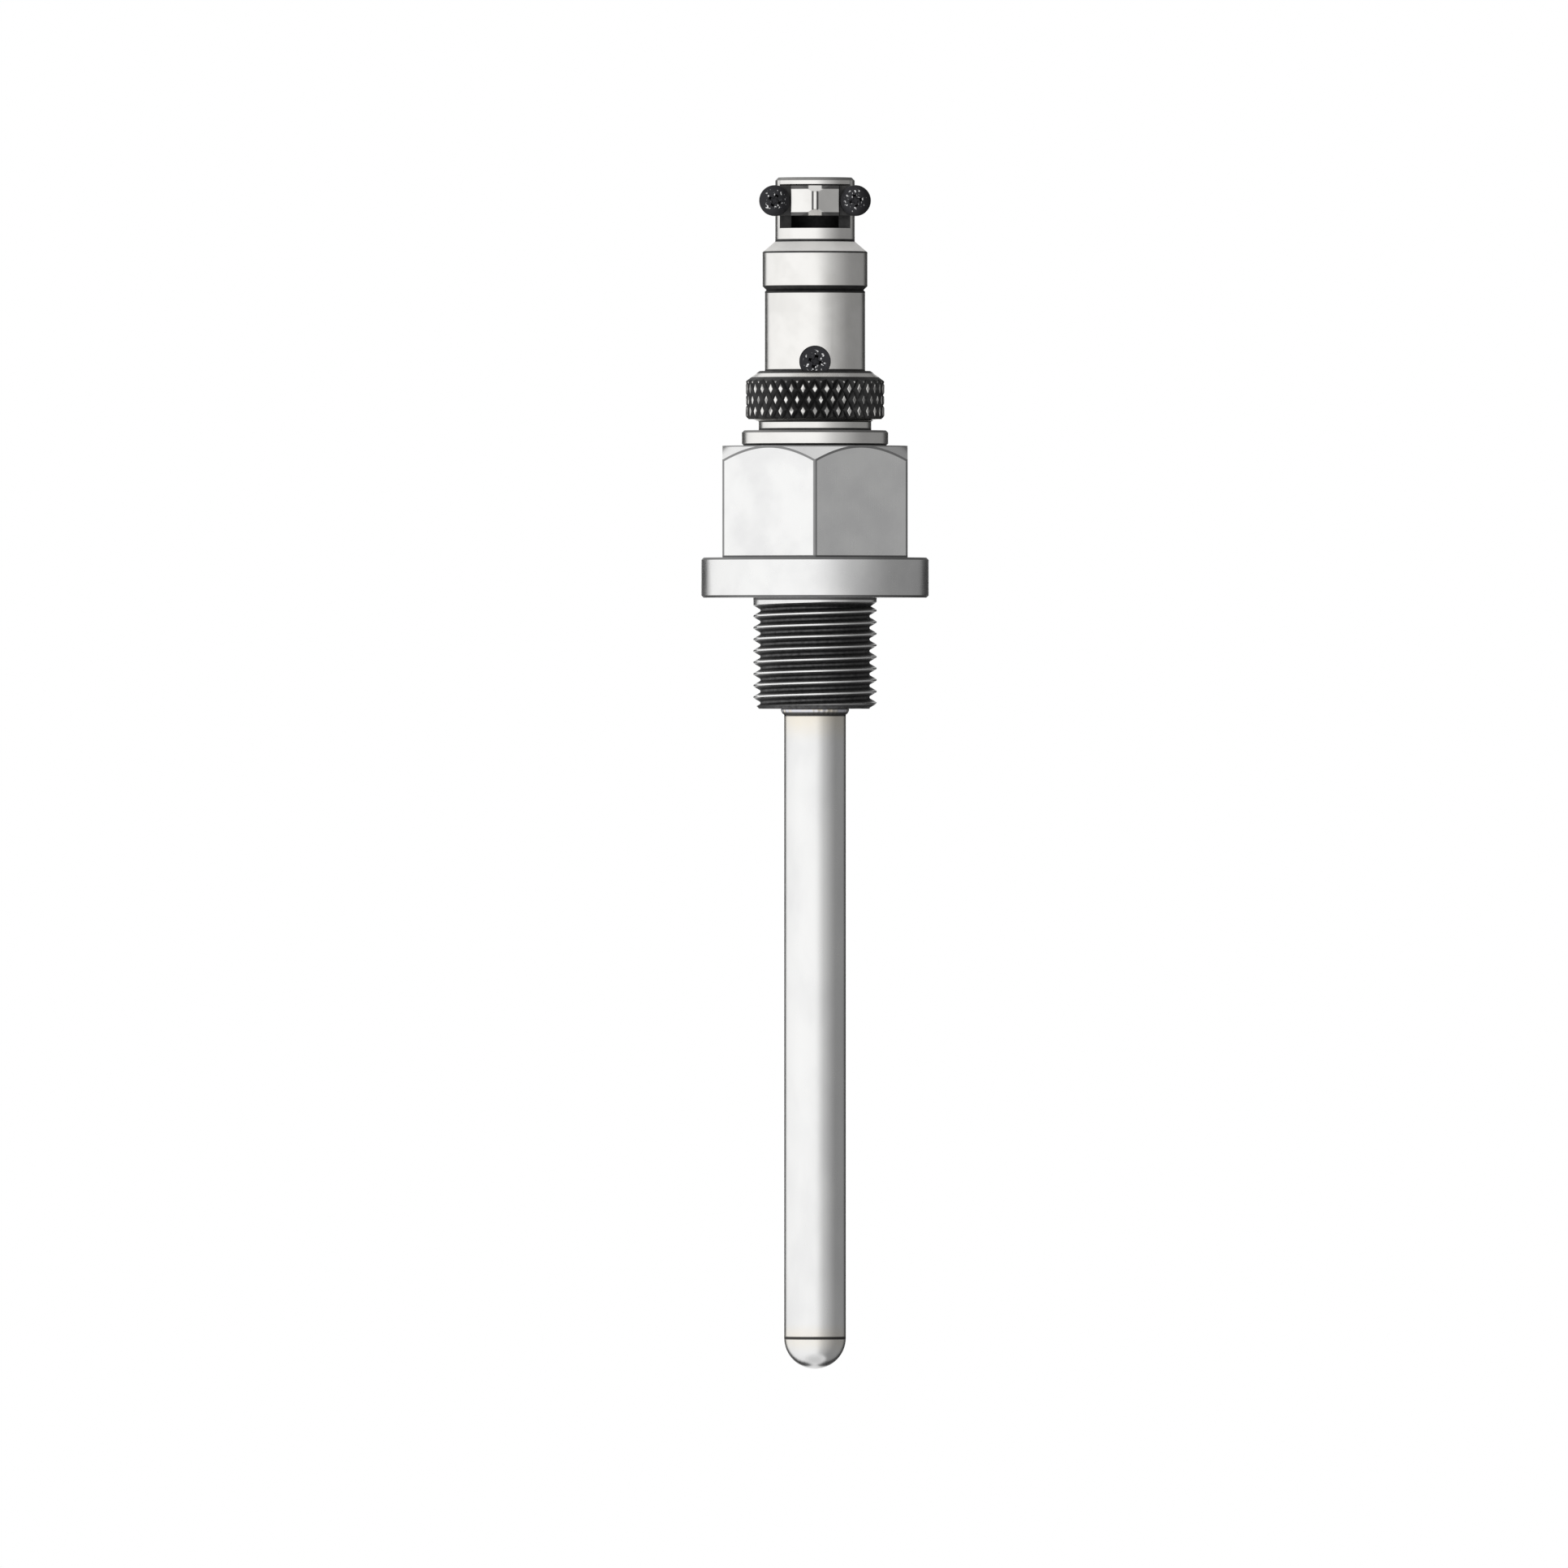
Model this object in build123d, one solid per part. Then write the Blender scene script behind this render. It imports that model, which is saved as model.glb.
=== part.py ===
from build123d import *
import math
import os

# Resistance thermometer probe with a screw-in process fitting and a plug-and-socket head.
# Lengths are in millimetres. The origin is the centre of the flange's underside, +Z runs up
# the axis towards the cable entry, and the screw heads face -Y.

# Process fitting, turned from hexagon bar
flange_diameter = 29.5
flange_height = 5.2
hex_across_flats = 24.0
hex_height = 14.5
hex_corner_round = 0.3
process_thread_diameter = 16.0
process_thread_length = 14.4
process_thread_chamfer = 0.75
wiring_chamber_diameter = 12.0
wiring_chamber_floor = 2.0
edge_break = 0.3

# Probe sheath
insertion_length = 100.0
sheath_diameter = 8.0
sheath_wall = 1.0
sheath_seat_depth = 2.4
sheath_seat_step = 0.2
tip_spigot_length = 2.0
weld_leg = 0.425
weld_height = 0.8
weld_crown = 0.62

# Receptacle, the half of the head that is fixed in the hexagon
disc_diameter = 19.0
disc_height = 2.0
shank_wall = 1.5
shank_length = 8.0
receptacle_wall = 1.4
coupling_thread_reach = 5.2
runout_neck_depth = 0.65
runout_neck_height = 1.45
cavity_depth = 6.2
floor_thickness = 1.4
receptacle_insert_flange_height = 4.8
receptacle_insert_step = 0.5
key_width = 1.2
key_height = 0.6
seal_section = 1.16
seal_groove_width = 1.35
seal_groove_depth = 1.2

# Snap ring under the receptacle insert
circlip_thickness = 1.0
circlip_groove_depth = 0.4
circlip_width = 1.25
circlip_opening = 70
circlip_eye_angle = 10

# Contacts
contact_count = 4
contact_circle = 5.6
pin_diameter = 1.2
pin_root_diameter = 1.6
pin_root_embed = 4.5
pin_tail_length = 2.2
pin_recess = 0.7
socket_diameter = 2.0
socket_front_recess = 0.5
socket_tail_length = 1.9
socket_cup_depth = 1.4
socket_slot_width = 0.3
socket_slot_length = 2.45

# Leads
wire_diameter = 0.9
wire_circle = 2.5
wire_bend_radius = 6.0
wire_top_run = 3.8
wire_slope_height = 5.5
sleeve_wall = 0.3
sleeve_length = 3.6
sleeve_overlap = 0.9

# Sensing end, inside the sheath
epoxy_length = 9.5
epoxy_rise = 0.5
bead_count = 3
bead_side_gap = 0.3
bead_bore = 1.0
bead_gap = 0.2
first_bead_depth = 12.0
splice_length = 4.0
splice_width = 1.3
splice_breadth = 2.9
splice_wire_depth = 2.0
splice_gap = 2.6
splice_element_gap = 1.0
element_diameter = 3.2
element_length = 13.5
element_end_gap = 0.5
element_lead_diameter = 0.34
element_lead_embed = 1.0
filler_rise = 0.7

# Plug, the half of the head that carries the cable
insert_diameter = 10.0
plug_insert_length = 12.0
plug_insert_recess = 0.1
contact_lead_in = 0.1
skirt_wall = 1.35
gasket_thickness = 0.4
plug_flange_height = 0.5
plug_flange_side_gap = 0.7
barrel_wall = 1.45
barrel_length = 12.1
barrel_shoulder_height = 0.8
barrel_shoulder_step = 0.55
rear_wall = 1.05
insert_lock_rise = 1.2
skirt_gap = 0.15
mating_gap = 0.3

# Back shell with the cable entry
collar_step = 0.3
collar_height = 4.9
collar_chamfer = 0.5
cone_height = 1.4
cable_bore = 7.2
tail_wall = 1.55
tail_length = 8.3
tail_chamfer = 0.4
mouth_chamfer = 0.3
spigot_length = 4.0
spigot_wall = 1.0
throat_depth = 2.2

# Cable clamp
rim_height = 0.9
window_height = 5.7
window_front = 2.4
clamp_zone_step = 0.3
ear_depth = 4.6
ear_thread_depth = 3.6
clamp_screw_outset = 0.09
clamp_squeeze_gap = 0.6
saddle_height = 3.9
saddle_top_gap = 0.2
saddle_tab_thickness = 1.2
saddle_ridge_wall = 2.6
saddle_ridge_flat = 0.55
saddle_slope = 30
saddle_corner = 0.9
screw_head_side_gap = 0.1

# Screws
screw_diameter = 2.0
screw_head_diameter = 4.0
screw_head_height = 1.4
screw_head_rim = 0.5
screw_head_dome = 2.8
countersink_overrun = 0.6
recess_width = 0.55
recess_length = 2.2
recess_depth = 0.6
lock_screw_reach = 1.65

# Coupling ring
ring_wall = 0.95
ring_lip_thickness = 1.2
ring_top_land = 0.6
ring_top_chamfer_height = 1.35
ring_bottom_chamfer = 0.4
washer_thickness = 0.4
washer_inner_gap = 0.2
washer_outer_gap = 0.35
knurl_count = 36
knurl_depth = 0.5
knurl_lean = 30

# Fits, as gaps on the radius
slip_fit = 0.05
thread_fit = 0.05
contact_fit = 0.02
running_fit = 0.10
screw_clearance = 0.15
part_line_break = 0.2

# Heights along the axis, worked out from the stack of pieces
hex_top = flange_height + hex_height
disc_top = hex_top + disc_height
coupling_thread_start = disc_top + runout_neck_height
rim_top = disc_top + coupling_thread_reach
cavity_floor = rim_top - cavity_depth
insert_seat = cavity_floor - floor_thickness
insert_base = insert_seat - receptacle_insert_flange_height
shank_base = hex_top - shank_length
skirt_base = cavity_floor + mating_gap
plug_face = skirt_base + plug_insert_recess
gasket_top = rim_top + gasket_thickness
plug_flange_top = gasket_top + plug_flange_height
washer_top = plug_flange_top + washer_thickness
ring_top = washer_top + ring_lip_thickness
ring_base = coupling_thread_start
plug_insert_top = plug_face + plug_insert_length
lock_screw_height = ring_top + insert_lock_rise
barrel_top = plug_flange_top + barrel_length
spigot_base = barrel_top - spigot_length
collar_top = barrel_top + collar_height
cone_top = collar_top + cone_height
tail_top = cone_top + tail_length
window_top = tail_top - rim_height
window_base = window_top - window_height
saddle_top = window_top - saddle_top_gap
clamp_height = saddle_top - saddle_height / 2
pin_base = insert_base - pin_tail_length
pin_top = rim_top - pin_recess
socket_base = plug_face + socket_front_recess
socket_top = plug_insert_top + socket_tail_length
tip_centre = -(insertion_length - sheath_diameter / 2)
thread_end = -process_thread_length
weld_base = thread_end - weld_height
sheath_top = -sheath_seat_depth
wire_bend_top = pin_base - wire_top_run
wire_bend_base = wire_bend_top - wire_slope_height

# Heights inside the sheath, stacked up from the tip, with the beads filling what is left
element_base = tip_centre + tip_spigot_length + element_end_gap
element_top = element_base + element_length
splice_base = element_top + splice_element_gap
splice_top = splice_base + splice_length
wire_base = splice_top - splice_wire_depth
beads_base = splice_top + splice_gap
bead_length = (-first_bead_depth - beads_base - (bead_count - 1) * bead_gap) / bead_count

# Radii of the sheath and its fitting
sheath_radius = sheath_diameter / 2
sheath_seat = sheath_radius - sheath_seat_step
sheath_inner = sheath_radius - sheath_wall
hex_corner = hex_across_flats / math.sqrt(3)
splice_x = wire_circle / 2 * math.cos(math.radians(180 / contact_count))

# Radii of the head, built outwards from the insulating inserts
insert_radius = insert_diameter / 2
insert_bore = insert_radius + slip_fit
shank_bore = insert_radius + receptacle_insert_step
shank_radius = shank_bore + shank_wall
seal_inner = shank_radius + slip_fit
skirt_radius = insert_bore + skirt_wall
cavity_radius = skirt_radius + skirt_gap
receptacle_radius = cavity_radius + receptacle_wall
ring_bore = receptacle_radius + 2 * thread_fit
ring_radius = ring_bore + ring_wall
plug_flange_radius = ring_bore - plug_flange_side_gap
washer_radius = ring_bore - washer_outer_gap
barrel_radius = insert_bore + barrel_wall
rear_bore = barrel_radius - rear_wall
spigot_radius = rear_bore - slip_fit
collar_radius = barrel_radius + collar_step
entry_radius = cable_bore / 2
clamp_radius = entry_radius + clamp_zone_step
tail_radius = entry_radius + tail_wall

# Places of the screws, as distances from the axis
clamp_screw_x = tail_radius + clamp_screw_outset
saddle_front = window_front + clamp_squeeze_gap + saddle_tab_thickness
saddle_ridge = clamp_radius + saddle_ridge_wall
lock_screw_face = math.sqrt(barrel_radius**2 - (screw_head_diameter / 2) ** 2)
lock_screw_tip = insert_radius - lock_screw_reach

ON_BASE = (Align.CENTER, Align.CENTER, Align.MIN)


def rod(diameter, low, high):
    """A round bar on the Z axis between two heights."""
    return Pos(0, 0, low) * Cylinder(diameter / 2, high - low, align=ON_BASE)


def turned(*corners):
    """A solid of revolution about Z from the corners of its half section, as (radius, height)."""
    outline = Polyline(*[(r, 0, z) for r, z in corners], close=True)
    return revolve(make_face(outline), axis=Axis.Z)


def around(circle, count, piece):
    """Copies of a piece on a circle, the first one at half a step from +X."""
    step = 360 / count
    spots = [Rot(0, 0, step * (i + 0.5)) * Pos(circle / 2, 0, 0) for i in range(count)]
    return [spot * piece for spot in spots]


def make_fitting_body():
    """Hexagon, flange and process thread in one piece, bored for the sheath and the receptacle."""
    flange_radius = flange_diameter / 2
    thread_radius = process_thread_diameter / 2
    body = turned(
        (0, thread_end),
        (thread_radius - process_thread_chamfer, thread_end),
        (thread_radius, thread_end + process_thread_chamfer),
        (thread_radius, 0),
        (flange_radius - edge_break, 0),
        (flange_radius, edge_break),
        (flange_radius, flange_height - edge_break),
        (flange_radius - edge_break, flange_height),
        (0, flange_height),
    )
    # The flats face +X and -X, and a 45 degree cone takes the top corners down to a circle
    flats = RegularPolygon(hex_across_flats / 2, 6, major_radius=False, rotation=30)
    flats = fillet(flats.vertices(), hex_corner_round)
    hexagon = Pos(0, 0, flange_height) * extrude(flats, hex_height)
    cone_drop = hex_corner - hex_across_flats / 2
    cone = turned(
        (0, flange_height),
        (hex_corner, flange_height),
        (hex_corner, hex_top - cone_drop),
        (hex_across_flats / 2, hex_top),
        (0, hex_top),
    )
    body = body + (hexagon & cone)
    bores = turned(
        (0, thread_end),
        (sheath_seat + slip_fit, thread_end),
        (sheath_seat + slip_fit, sheath_top),
        (sheath_inner, sheath_top),
        (sheath_inner, wiring_chamber_floor),
        (wiring_chamber_diameter / 2, wiring_chamber_floor),
        (wiring_chamber_diameter / 2, shank_base - mating_gap),
        (seal_inner, shank_base - mating_gap),
        (seal_inner, hex_top - seal_groove_depth),
        (seal_inner + seal_groove_width, hex_top - seal_groove_depth),
        (seal_inner + seal_groove_width, hex_top),
        (0, hex_top),
    )
    return body - bores


def make_sheath_tube():
    """Tube with a turned-down seat that enters the fitting from its shoulder up."""
    outer = rod(sheath_diameter, tip_centre, weld_base) + rod(2 * sheath_seat, weld_base, sheath_top)
    return outer - rod(2 * sheath_inner, tip_centre, sheath_top)


def make_sheath_tip():
    """Rounded end cap with a spigot that enters the tube."""
    radius = sheath_radius
    spigot_top = tip_centre + tip_spigot_length
    with BuildPart() as tip:
        with BuildSketch(Plane.XZ):
            with BuildLine():
                Line((0, tip_centre - radius), (0, spigot_top))
                Line((0, spigot_top), (sheath_inner - slip_fit, spigot_top))
                Line((sheath_inner - slip_fit, spigot_top), (sheath_inner - slip_fit, tip_centre))
                Line((sheath_inner - slip_fit, tip_centre), (radius, tip_centre))
                RadiusArc((radius, tip_centre), (0, tip_centre - radius), radius)
            make_face()
        revolve(axis=Axis.Z)
    return tip.part


def make_sheath_weld():
    """Crowned bead of weld metal that fills the groove between the thread's end and the shoulder."""
    edge = sheath_radius + weld_leg
    crown = (sheath_radius + weld_crown * weld_leg, thread_end - weld_crown * weld_height)
    with BuildPart() as bead:
        with BuildSketch(Plane.XZ):
            with BuildLine():
                Line((sheath_seat, thread_end), (edge, thread_end))
                ThreePointArc((edge, thread_end), crown, (sheath_radius, weld_base))
                Line((sheath_radius, weld_base), (sheath_seat, weld_base))
                Line((sheath_seat, weld_base), (sheath_seat, thread_end))
            make_face()
        revolve(axis=Axis.Z)
    return bead.part


def make_receptacle_shell():
    shank = shank_radius
    bore = shank_bore
    disc = disc_diameter / 2
    thread = receptacle_radius
    neck = thread - runout_neck_depth
    groove = bore + circlip_groove_depth
    groove_base = insert_base - circlip_thickness - slip_fit
    shell = turned(
        (bore, shank_base),
        (shank - edge_break, shank_base),
        (shank, shank_base + edge_break),
        (shank, hex_top),
        (disc - edge_break, hex_top),
        (disc, hex_top + edge_break),
        (disc, disc_top - edge_break),
        (disc - edge_break, disc_top),
        (neck, disc_top),
        (neck, coupling_thread_start - edge_break),
        (thread, coupling_thread_start),
        (thread, rim_top - edge_break),
        (thread - edge_break, rim_top),
        (cavity_radius, rim_top),
        (cavity_radius, cavity_floor),
        (insert_bore, cavity_floor),
        (insert_bore, insert_seat),
        (bore, insert_seat),
        (bore, insert_base),
        (groove, insert_base),
        (groove, groove_base),
        (bore, groove_base),
    )
    key_top = rim_top - pin_recess
    key = Pos(0, cavity_radius, cavity_floor) * Box(
        key_width, 2 * key_height, key_top - cavity_floor, align=ON_BASE
    )
    return shell + (key & rod(2 * neck, cavity_floor, rim_top))


def make_receptacle_seal():
    ring = Torus(seal_inner + seal_groove_width / 2, seal_section / 2)
    return Pos(0, 0, hex_top - seal_groove_depth / 2) * ring


def make_receptacle_insert():
    """Stepped insulator, held up against the receptacle's floor from below."""
    flange = rod(2 * (shank_bore - slip_fit), insert_base, insert_seat)
    body = flange + rod(insert_diameter, insert_seat, cavity_floor)
    root = rod(pin_root_diameter + 2 * contact_fit, insert_base, insert_base + pin_root_embed)
    hole = root + rod(pin_diameter + 2 * contact_fit, insert_base, cavity_floor)
    return body - around(contact_circle, contact_count, hole)


def make_insert_circlip():
    """Flat snap ring with an eye at each end of its opening."""
    outer = shank_bore + circlip_groove_depth - slip_fit
    top = insert_base
    low = insert_base - circlip_thickness
    ring = rod(2 * outer, low, top) - rod(2 * (outer - circlip_width), low, top)
    half = math.radians(circlip_opening / 2)
    reach = 2 * outer
    wedge = Polygon(
        (0, 0),
        (reach * math.cos(half), reach * math.sin(half)),
        (reach * math.cos(half), -reach * math.sin(half)),
        align=None,
    )
    ring = ring - Pos(0, 0, low) * extrude(wedge, circlip_thickness)
    eye_angle = circlip_opening / 2 + circlip_eye_angle
    eye = rod(circlip_width / 2, low, top)
    spots = [Rot(0, 0, a) * Pos(outer - circlip_width / 2, 0, 0) for a in (eye_angle, -eye_angle)]
    return ring - [spot * eye for spot in spots]


def make_contact_pin():
    """One pin on the Z axis, with a rounded nose and a thicker root for the solder joint."""
    root_top = insert_base + pin_root_embed
    nose = pin_diameter / 2
    shaft = rod(pin_diameter, root_top, pin_top - nose)
    root = rod(pin_root_diameter, pin_base, root_top)
    return root + shaft + Pos(0, 0, pin_top - nose) * Sphere(nose)


def make_socket_contact():
    """One spring socket on the Z axis, bored for the pin and hollowed as a cup for the wire."""
    depth_for_pin = pin_top + mating_gap
    body = rod(socket_diameter, socket_base, socket_top)
    bore = rod(pin_diameter + 2 * slip_fit, socket_base, depth_for_pin)
    cup = rod(pin_diameter, socket_top - socket_cup_depth, socket_top)
    slot = Pos(0, 0, socket_base) * Box(
        2 * socket_diameter, socket_slot_width, socket_slot_length, align=ON_BASE
    )
    return body - bore - cup - slot


def make_solder_sleeve():
    inner = pin_root_diameter + 2 * slip_fit
    high = pin_base + sleeve_overlap
    return rod(inner + 2 * sleeve_wall, high - sleeve_length, high) - rod(inner, high - sleeve_length, high)


def make_lead_wire(angle):
    """A lead from a pin's root, drawn in to the sheath's narrow bore and down to its splice."""
    across = Vector(math.cos(math.radians(angle)), math.sin(math.radians(angle)), 0)
    out = across * (contact_circle / 2)
    within = across * (wire_circle / 2)
    route = FilletPolyline(
        out + Vector(0, 0, pin_base),
        out + Vector(0, 0, wire_bend_top),
        within + Vector(0, 0, wire_bend_base),
        within + Vector(0, 0, wire_base),
        radius=wire_bend_radius,
    )
    section = Plane(origin=route @ 0, z_dir=route % 0) * Circle(wire_diameter / 2)
    return sweep(section, path=route)


def make_epoxy_seal():
    """Plug of resin that seals the sheath's mouth round the four leads."""
    body = rod(2 * (sheath_inner - slip_fit), epoxy_rise - epoxy_length, epoxy_rise)
    hole = rod(wire_diameter + 2 * contact_fit, epoxy_rise - epoxy_length, epoxy_rise)
    return body - around(wire_circle, contact_count, hole)


def make_insulator_bead(index):
    """One four-bore ceramic bead of the string inside the sheath."""
    high = -first_bead_depth - index * (bead_length + bead_gap)
    bar = rod(2 * (sheath_inner - bead_side_gap), high - bead_length, high)
    body = chamfer(bar.edges(), edge_break)
    hole = rod(bead_bore, high - bead_length, high)
    return body - around(wire_circle, contact_count, hole)


def make_lead_splice(side):
    """Crimp block that joins two leads to one lead of the element."""
    shape = RectangleRounded(splice_width, splice_breadth, splice_width / 2 - contact_fit)
    block = Pos(side * splice_x, 0, splice_base) * extrude(shape, splice_length)
    wires = around(wire_circle, contact_count, rod(wire_diameter + 2 * contact_fit, wire_base, splice_top))
    lead_hole = rod(element_lead_diameter + 2 * contact_fit, splice_base, wire_base - mating_gap)
    return block - wires - Pos(side * splice_x, 0, 0) * lead_hole


def make_element_lead(side):
    lead_top = wire_base - 2 * mating_gap
    return Pos(side * splice_x, 0, 0) * rod(element_lead_diameter, element_top - element_lead_embed, lead_top)


def make_rtd_element():
    """Ceramic body of the platinum resistor, with two blind holes for its leads."""
    body = chamfer(rod(element_diameter, element_base, element_top).edges(), edge_break)
    hole = rod(element_lead_diameter + 2 * contact_fit, element_top - element_lead_embed, element_top)
    return body - [Pos(side * splice_x, 0, 0) * hole for side in (1, -1)]


def make_tip_filler():
    """Cement that beds the element in the end of the sheath."""
    low = tip_centre + tip_spigot_length
    high = element_top + filler_rise
    body = rod(2 * (sheath_inner - slip_fit), low, high)
    return body - rod(element_diameter + 2 * slip_fit, element_base - slip_fit, high)


def make_plug_shell():
    """Skirt, seating flange and barrel of the plug in one turned piece."""
    barrel = barrel_radius
    shoulder = insert_bore - barrel_shoulder_step
    shell = turned(
        (insert_bore, skirt_base),
        (skirt_radius - part_line_break, skirt_base),
        (skirt_radius, skirt_base + part_line_break),
        (skirt_radius, gasket_top),
        (plug_flange_radius, gasket_top),
        (plug_flange_radius, plug_flange_top),
        (barrel, plug_flange_top),
        (barrel, barrel_top - part_line_break),
        (barrel - part_line_break, barrel_top),
        (rear_bore, barrel_top),
        (rear_bore, plug_insert_top + barrel_shoulder_height),
        (shoulder, plug_insert_top + barrel_shoulder_height),
        (shoulder, plug_insert_top),
        (insert_bore, plug_insert_top),
    )
    slot_width = key_width + 2 * skirt_gap
    slot_depth = key_height + 2 * skirt_gap
    slot = Pos(0, skirt_radius, skirt_base) * Box(
        slot_width, 2 * slot_depth, rim_top - skirt_base, align=ON_BASE
    )
    return shell - slot - lock_screw_hole()


def lock_screw_axis():
    """Where the insert lock screw lies: its local +Z points out of the barrel, along -Y."""
    return Pos(0, -lock_screw_face, lock_screw_height) * Rot(90, 0, 0)


def lock_screw_hole():
    """Countersink and blind clearance hole that the barrel and the insert share."""
    head = screw_head_diameter / 2 + slip_fit
    shank = screw_diameter / 2 + slip_fit
    floor = lock_screw_tip - slip_fit - lock_screw_face
    hole = turned(
        (0, countersink_overrun),
        (head, countersink_overrun),
        (head, 0),
        (shank, shank - head),
        (shank, floor),
        (0, floor),
    )
    return lock_screw_axis() * hole


def make_plug_gasket():
    inner = skirt_radius + slip_fit
    outer = plug_flange_radius - slip_fit
    return rod(2 * outer, rim_top, gasket_top) - rod(2 * inner, rim_top, gasket_top)


def make_plug_insert():
    """Insulator with a through bore for each socket, and a dimple for the lock screw."""
    body = rod(insert_diameter, plug_face, plug_insert_top)
    front = rod(pin_diameter + 2 * contact_lead_in, plug_face, socket_base)
    hole = front + rod(socket_diameter + 2 * contact_fit, socket_base, plug_insert_top)
    return body - around(contact_circle, contact_count, hole) - lock_screw_hole()


def cross_recess(face_height):
    """Two crossed slots, sunk from the top of a screw head."""
    slot = Box(recess_length, recess_width, 2 * recess_depth)
    return Pos(0, 0, face_height) * (slot + Rot(0, 0, 90) * slot)


def make_insert_lock_screw():
    """Countersunk screw whose nose holds the insert, flush with the barrel's wall."""
    head = screw_head_diameter / 2
    shank = screw_diameter / 2
    tip = lock_screw_tip - lock_screw_face
    screw = turned(
        (0, 0),
        (head, 0),
        (shank, shank - head),
        (shank, tip),
        (0, tip),
    )
    return lock_screw_axis() * (screw - cross_recess(0))


def make_back_shell():
    """Screwed-on rear half of the plug: collar, cone, and tail with its clamp window and ears."""
    collar = collar_radius
    tail = tail_radius
    entry = entry_radius
    wide = spigot_radius - spigot_wall
    throat = barrel_top + throat_depth
    shell = turned(
        (wide, spigot_base),
        (spigot_radius, spigot_base),
        (spigot_radius, barrel_top),
        (collar - collar_chamfer, barrel_top),
        (collar, barrel_top + collar_chamfer),
        (collar, collar_top),
        (tail, cone_top),
        (tail, tail_top - tail_chamfer),
        (tail - tail_chamfer, tail_top),
        (entry + mouth_chamfer, tail_top),
        (entry, tail_top - mouth_chamfer),
        (entry, window_top),
        (clamp_radius, window_top),
        (clamp_radius, window_base),
        (entry, window_base),
        (entry, throat + wide - entry),
        (wide, throat),
    )
    window = Pos(0, -window_front - tail, window_base) * Box(
        4 * tail, 2 * tail, window_height, align=ON_BASE
    )
    ear = clamp_axis(-window_front) * rod(saddle_height, -ear_depth, 0)
    ears = Pos(clamp_screw_x, 0, 0) * ear + Pos(-clamp_screw_x, 0, 0) * ear
    ears = ears - rod(2 * clamp_radius, window_base, window_top)
    thread = clamp_axis(-window_front) * rod(screw_diameter + 2 * slip_fit, -ear_thread_depth, 0)
    threads = [Pos(side * clamp_screw_x, 0, 0) * thread for side in (1, -1)]
    return shell - window + ears - threads


def clamp_axis(y):
    """A place at the clamp screws' height whose local +Z points along -Y."""
    return Pos(0, y, clamp_height) * Rot(90, 0, 0)


def make_clamp_saddle():
    """Roof-shaped clamp: two sloping flats beside a narrow ridge, screw tabs, an arch inside."""
    half = clamp_screw_x + saddle_height / 2
    roof_edge = clamp_screw_x - screw_head_diameter / 2 - screw_head_side_gap
    crest_edge = saddle_ridge_flat / 2
    roof_fall = (roof_edge - crest_edge) * math.tan(math.radians(saddle_slope))
    back = saddle_front - saddle_tab_thickness
    section = Polygon(
        (-half, -back),
        (-half, -saddle_front),
        (-roof_edge, -saddle_front),
        (-roof_edge, roof_fall - saddle_ridge),
        (-crest_edge, -saddle_ridge),
        (crest_edge, -saddle_ridge),
        (roof_edge, roof_fall - saddle_ridge),
        (roof_edge, -saddle_front),
        (half, -saddle_front),
        (half, -back),
        align=None,
    )
    low = clamp_height - saddle_height / 2
    body = Pos(0, 0, low) * extrude(section, saddle_height)
    arch = rod(2 * clamp_radius, low, saddle_top)
    front = SlotCenterToCenter(2 * clamp_screw_x, saddle_height)
    outline = clamp_axis(0) * extrude(front, saddle_ridge)
    # The ridge's top and bottom corners are cut off at 45 degrees
    corner = saddle_ridge - saddle_corner
    side = make_face(
        Polyline(
            (0, 0, low),
            (0, -corner, low),
            (0, -saddle_ridge, low + saddle_corner),
            (0, -saddle_ridge, saddle_top - saddle_corner),
            (0, -corner, saddle_top),
            (0, 0, saddle_top),
            close=True,
        )
    )
    corners = extrude(side, 2 * half, dir=(1, 0, 0), both=True)
    hole = clamp_axis(0) * rod(screw_diameter + 2 * screw_clearance, 0, saddle_ridge)
    holes = [Pos(x, 0, 0) * hole for x in (clamp_screw_x, -clamp_screw_x)]
    return (body & outline & corners) - arch - holes


def make_clamp_screw(side):
    """Pan-head screw through the saddle into its ear."""
    head = screw_head_diameter / 2
    shank = screw_diameter / 2
    tip = window_front - saddle_front - ear_thread_depth + mating_gap
    with BuildPart() as screw:
        with BuildSketch(Plane.XZ):
            with BuildLine():
                Polyline((0, screw_head_height), (0, tip), (shank, tip), (shank, 0))
                Polyline((shank, 0), (head, 0), (head, screw_head_rim))
                RadiusArc((head, screw_head_rim), (0, screw_head_height), -screw_head_dome)
            make_face()
        revolve(axis=Axis.Z)
    solid = screw.part - cross_recess(screw_head_height)
    return Pos(side * clamp_screw_x, 0, 0) * clamp_axis(-saddle_front) * solid


def make_ring_slip_washer():
    bore = rod(2 * (barrel_radius + washer_inner_gap), plug_flange_top, washer_top)
    return rod(2 * washer_radius, plug_flange_top, washer_top) - bore


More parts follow.
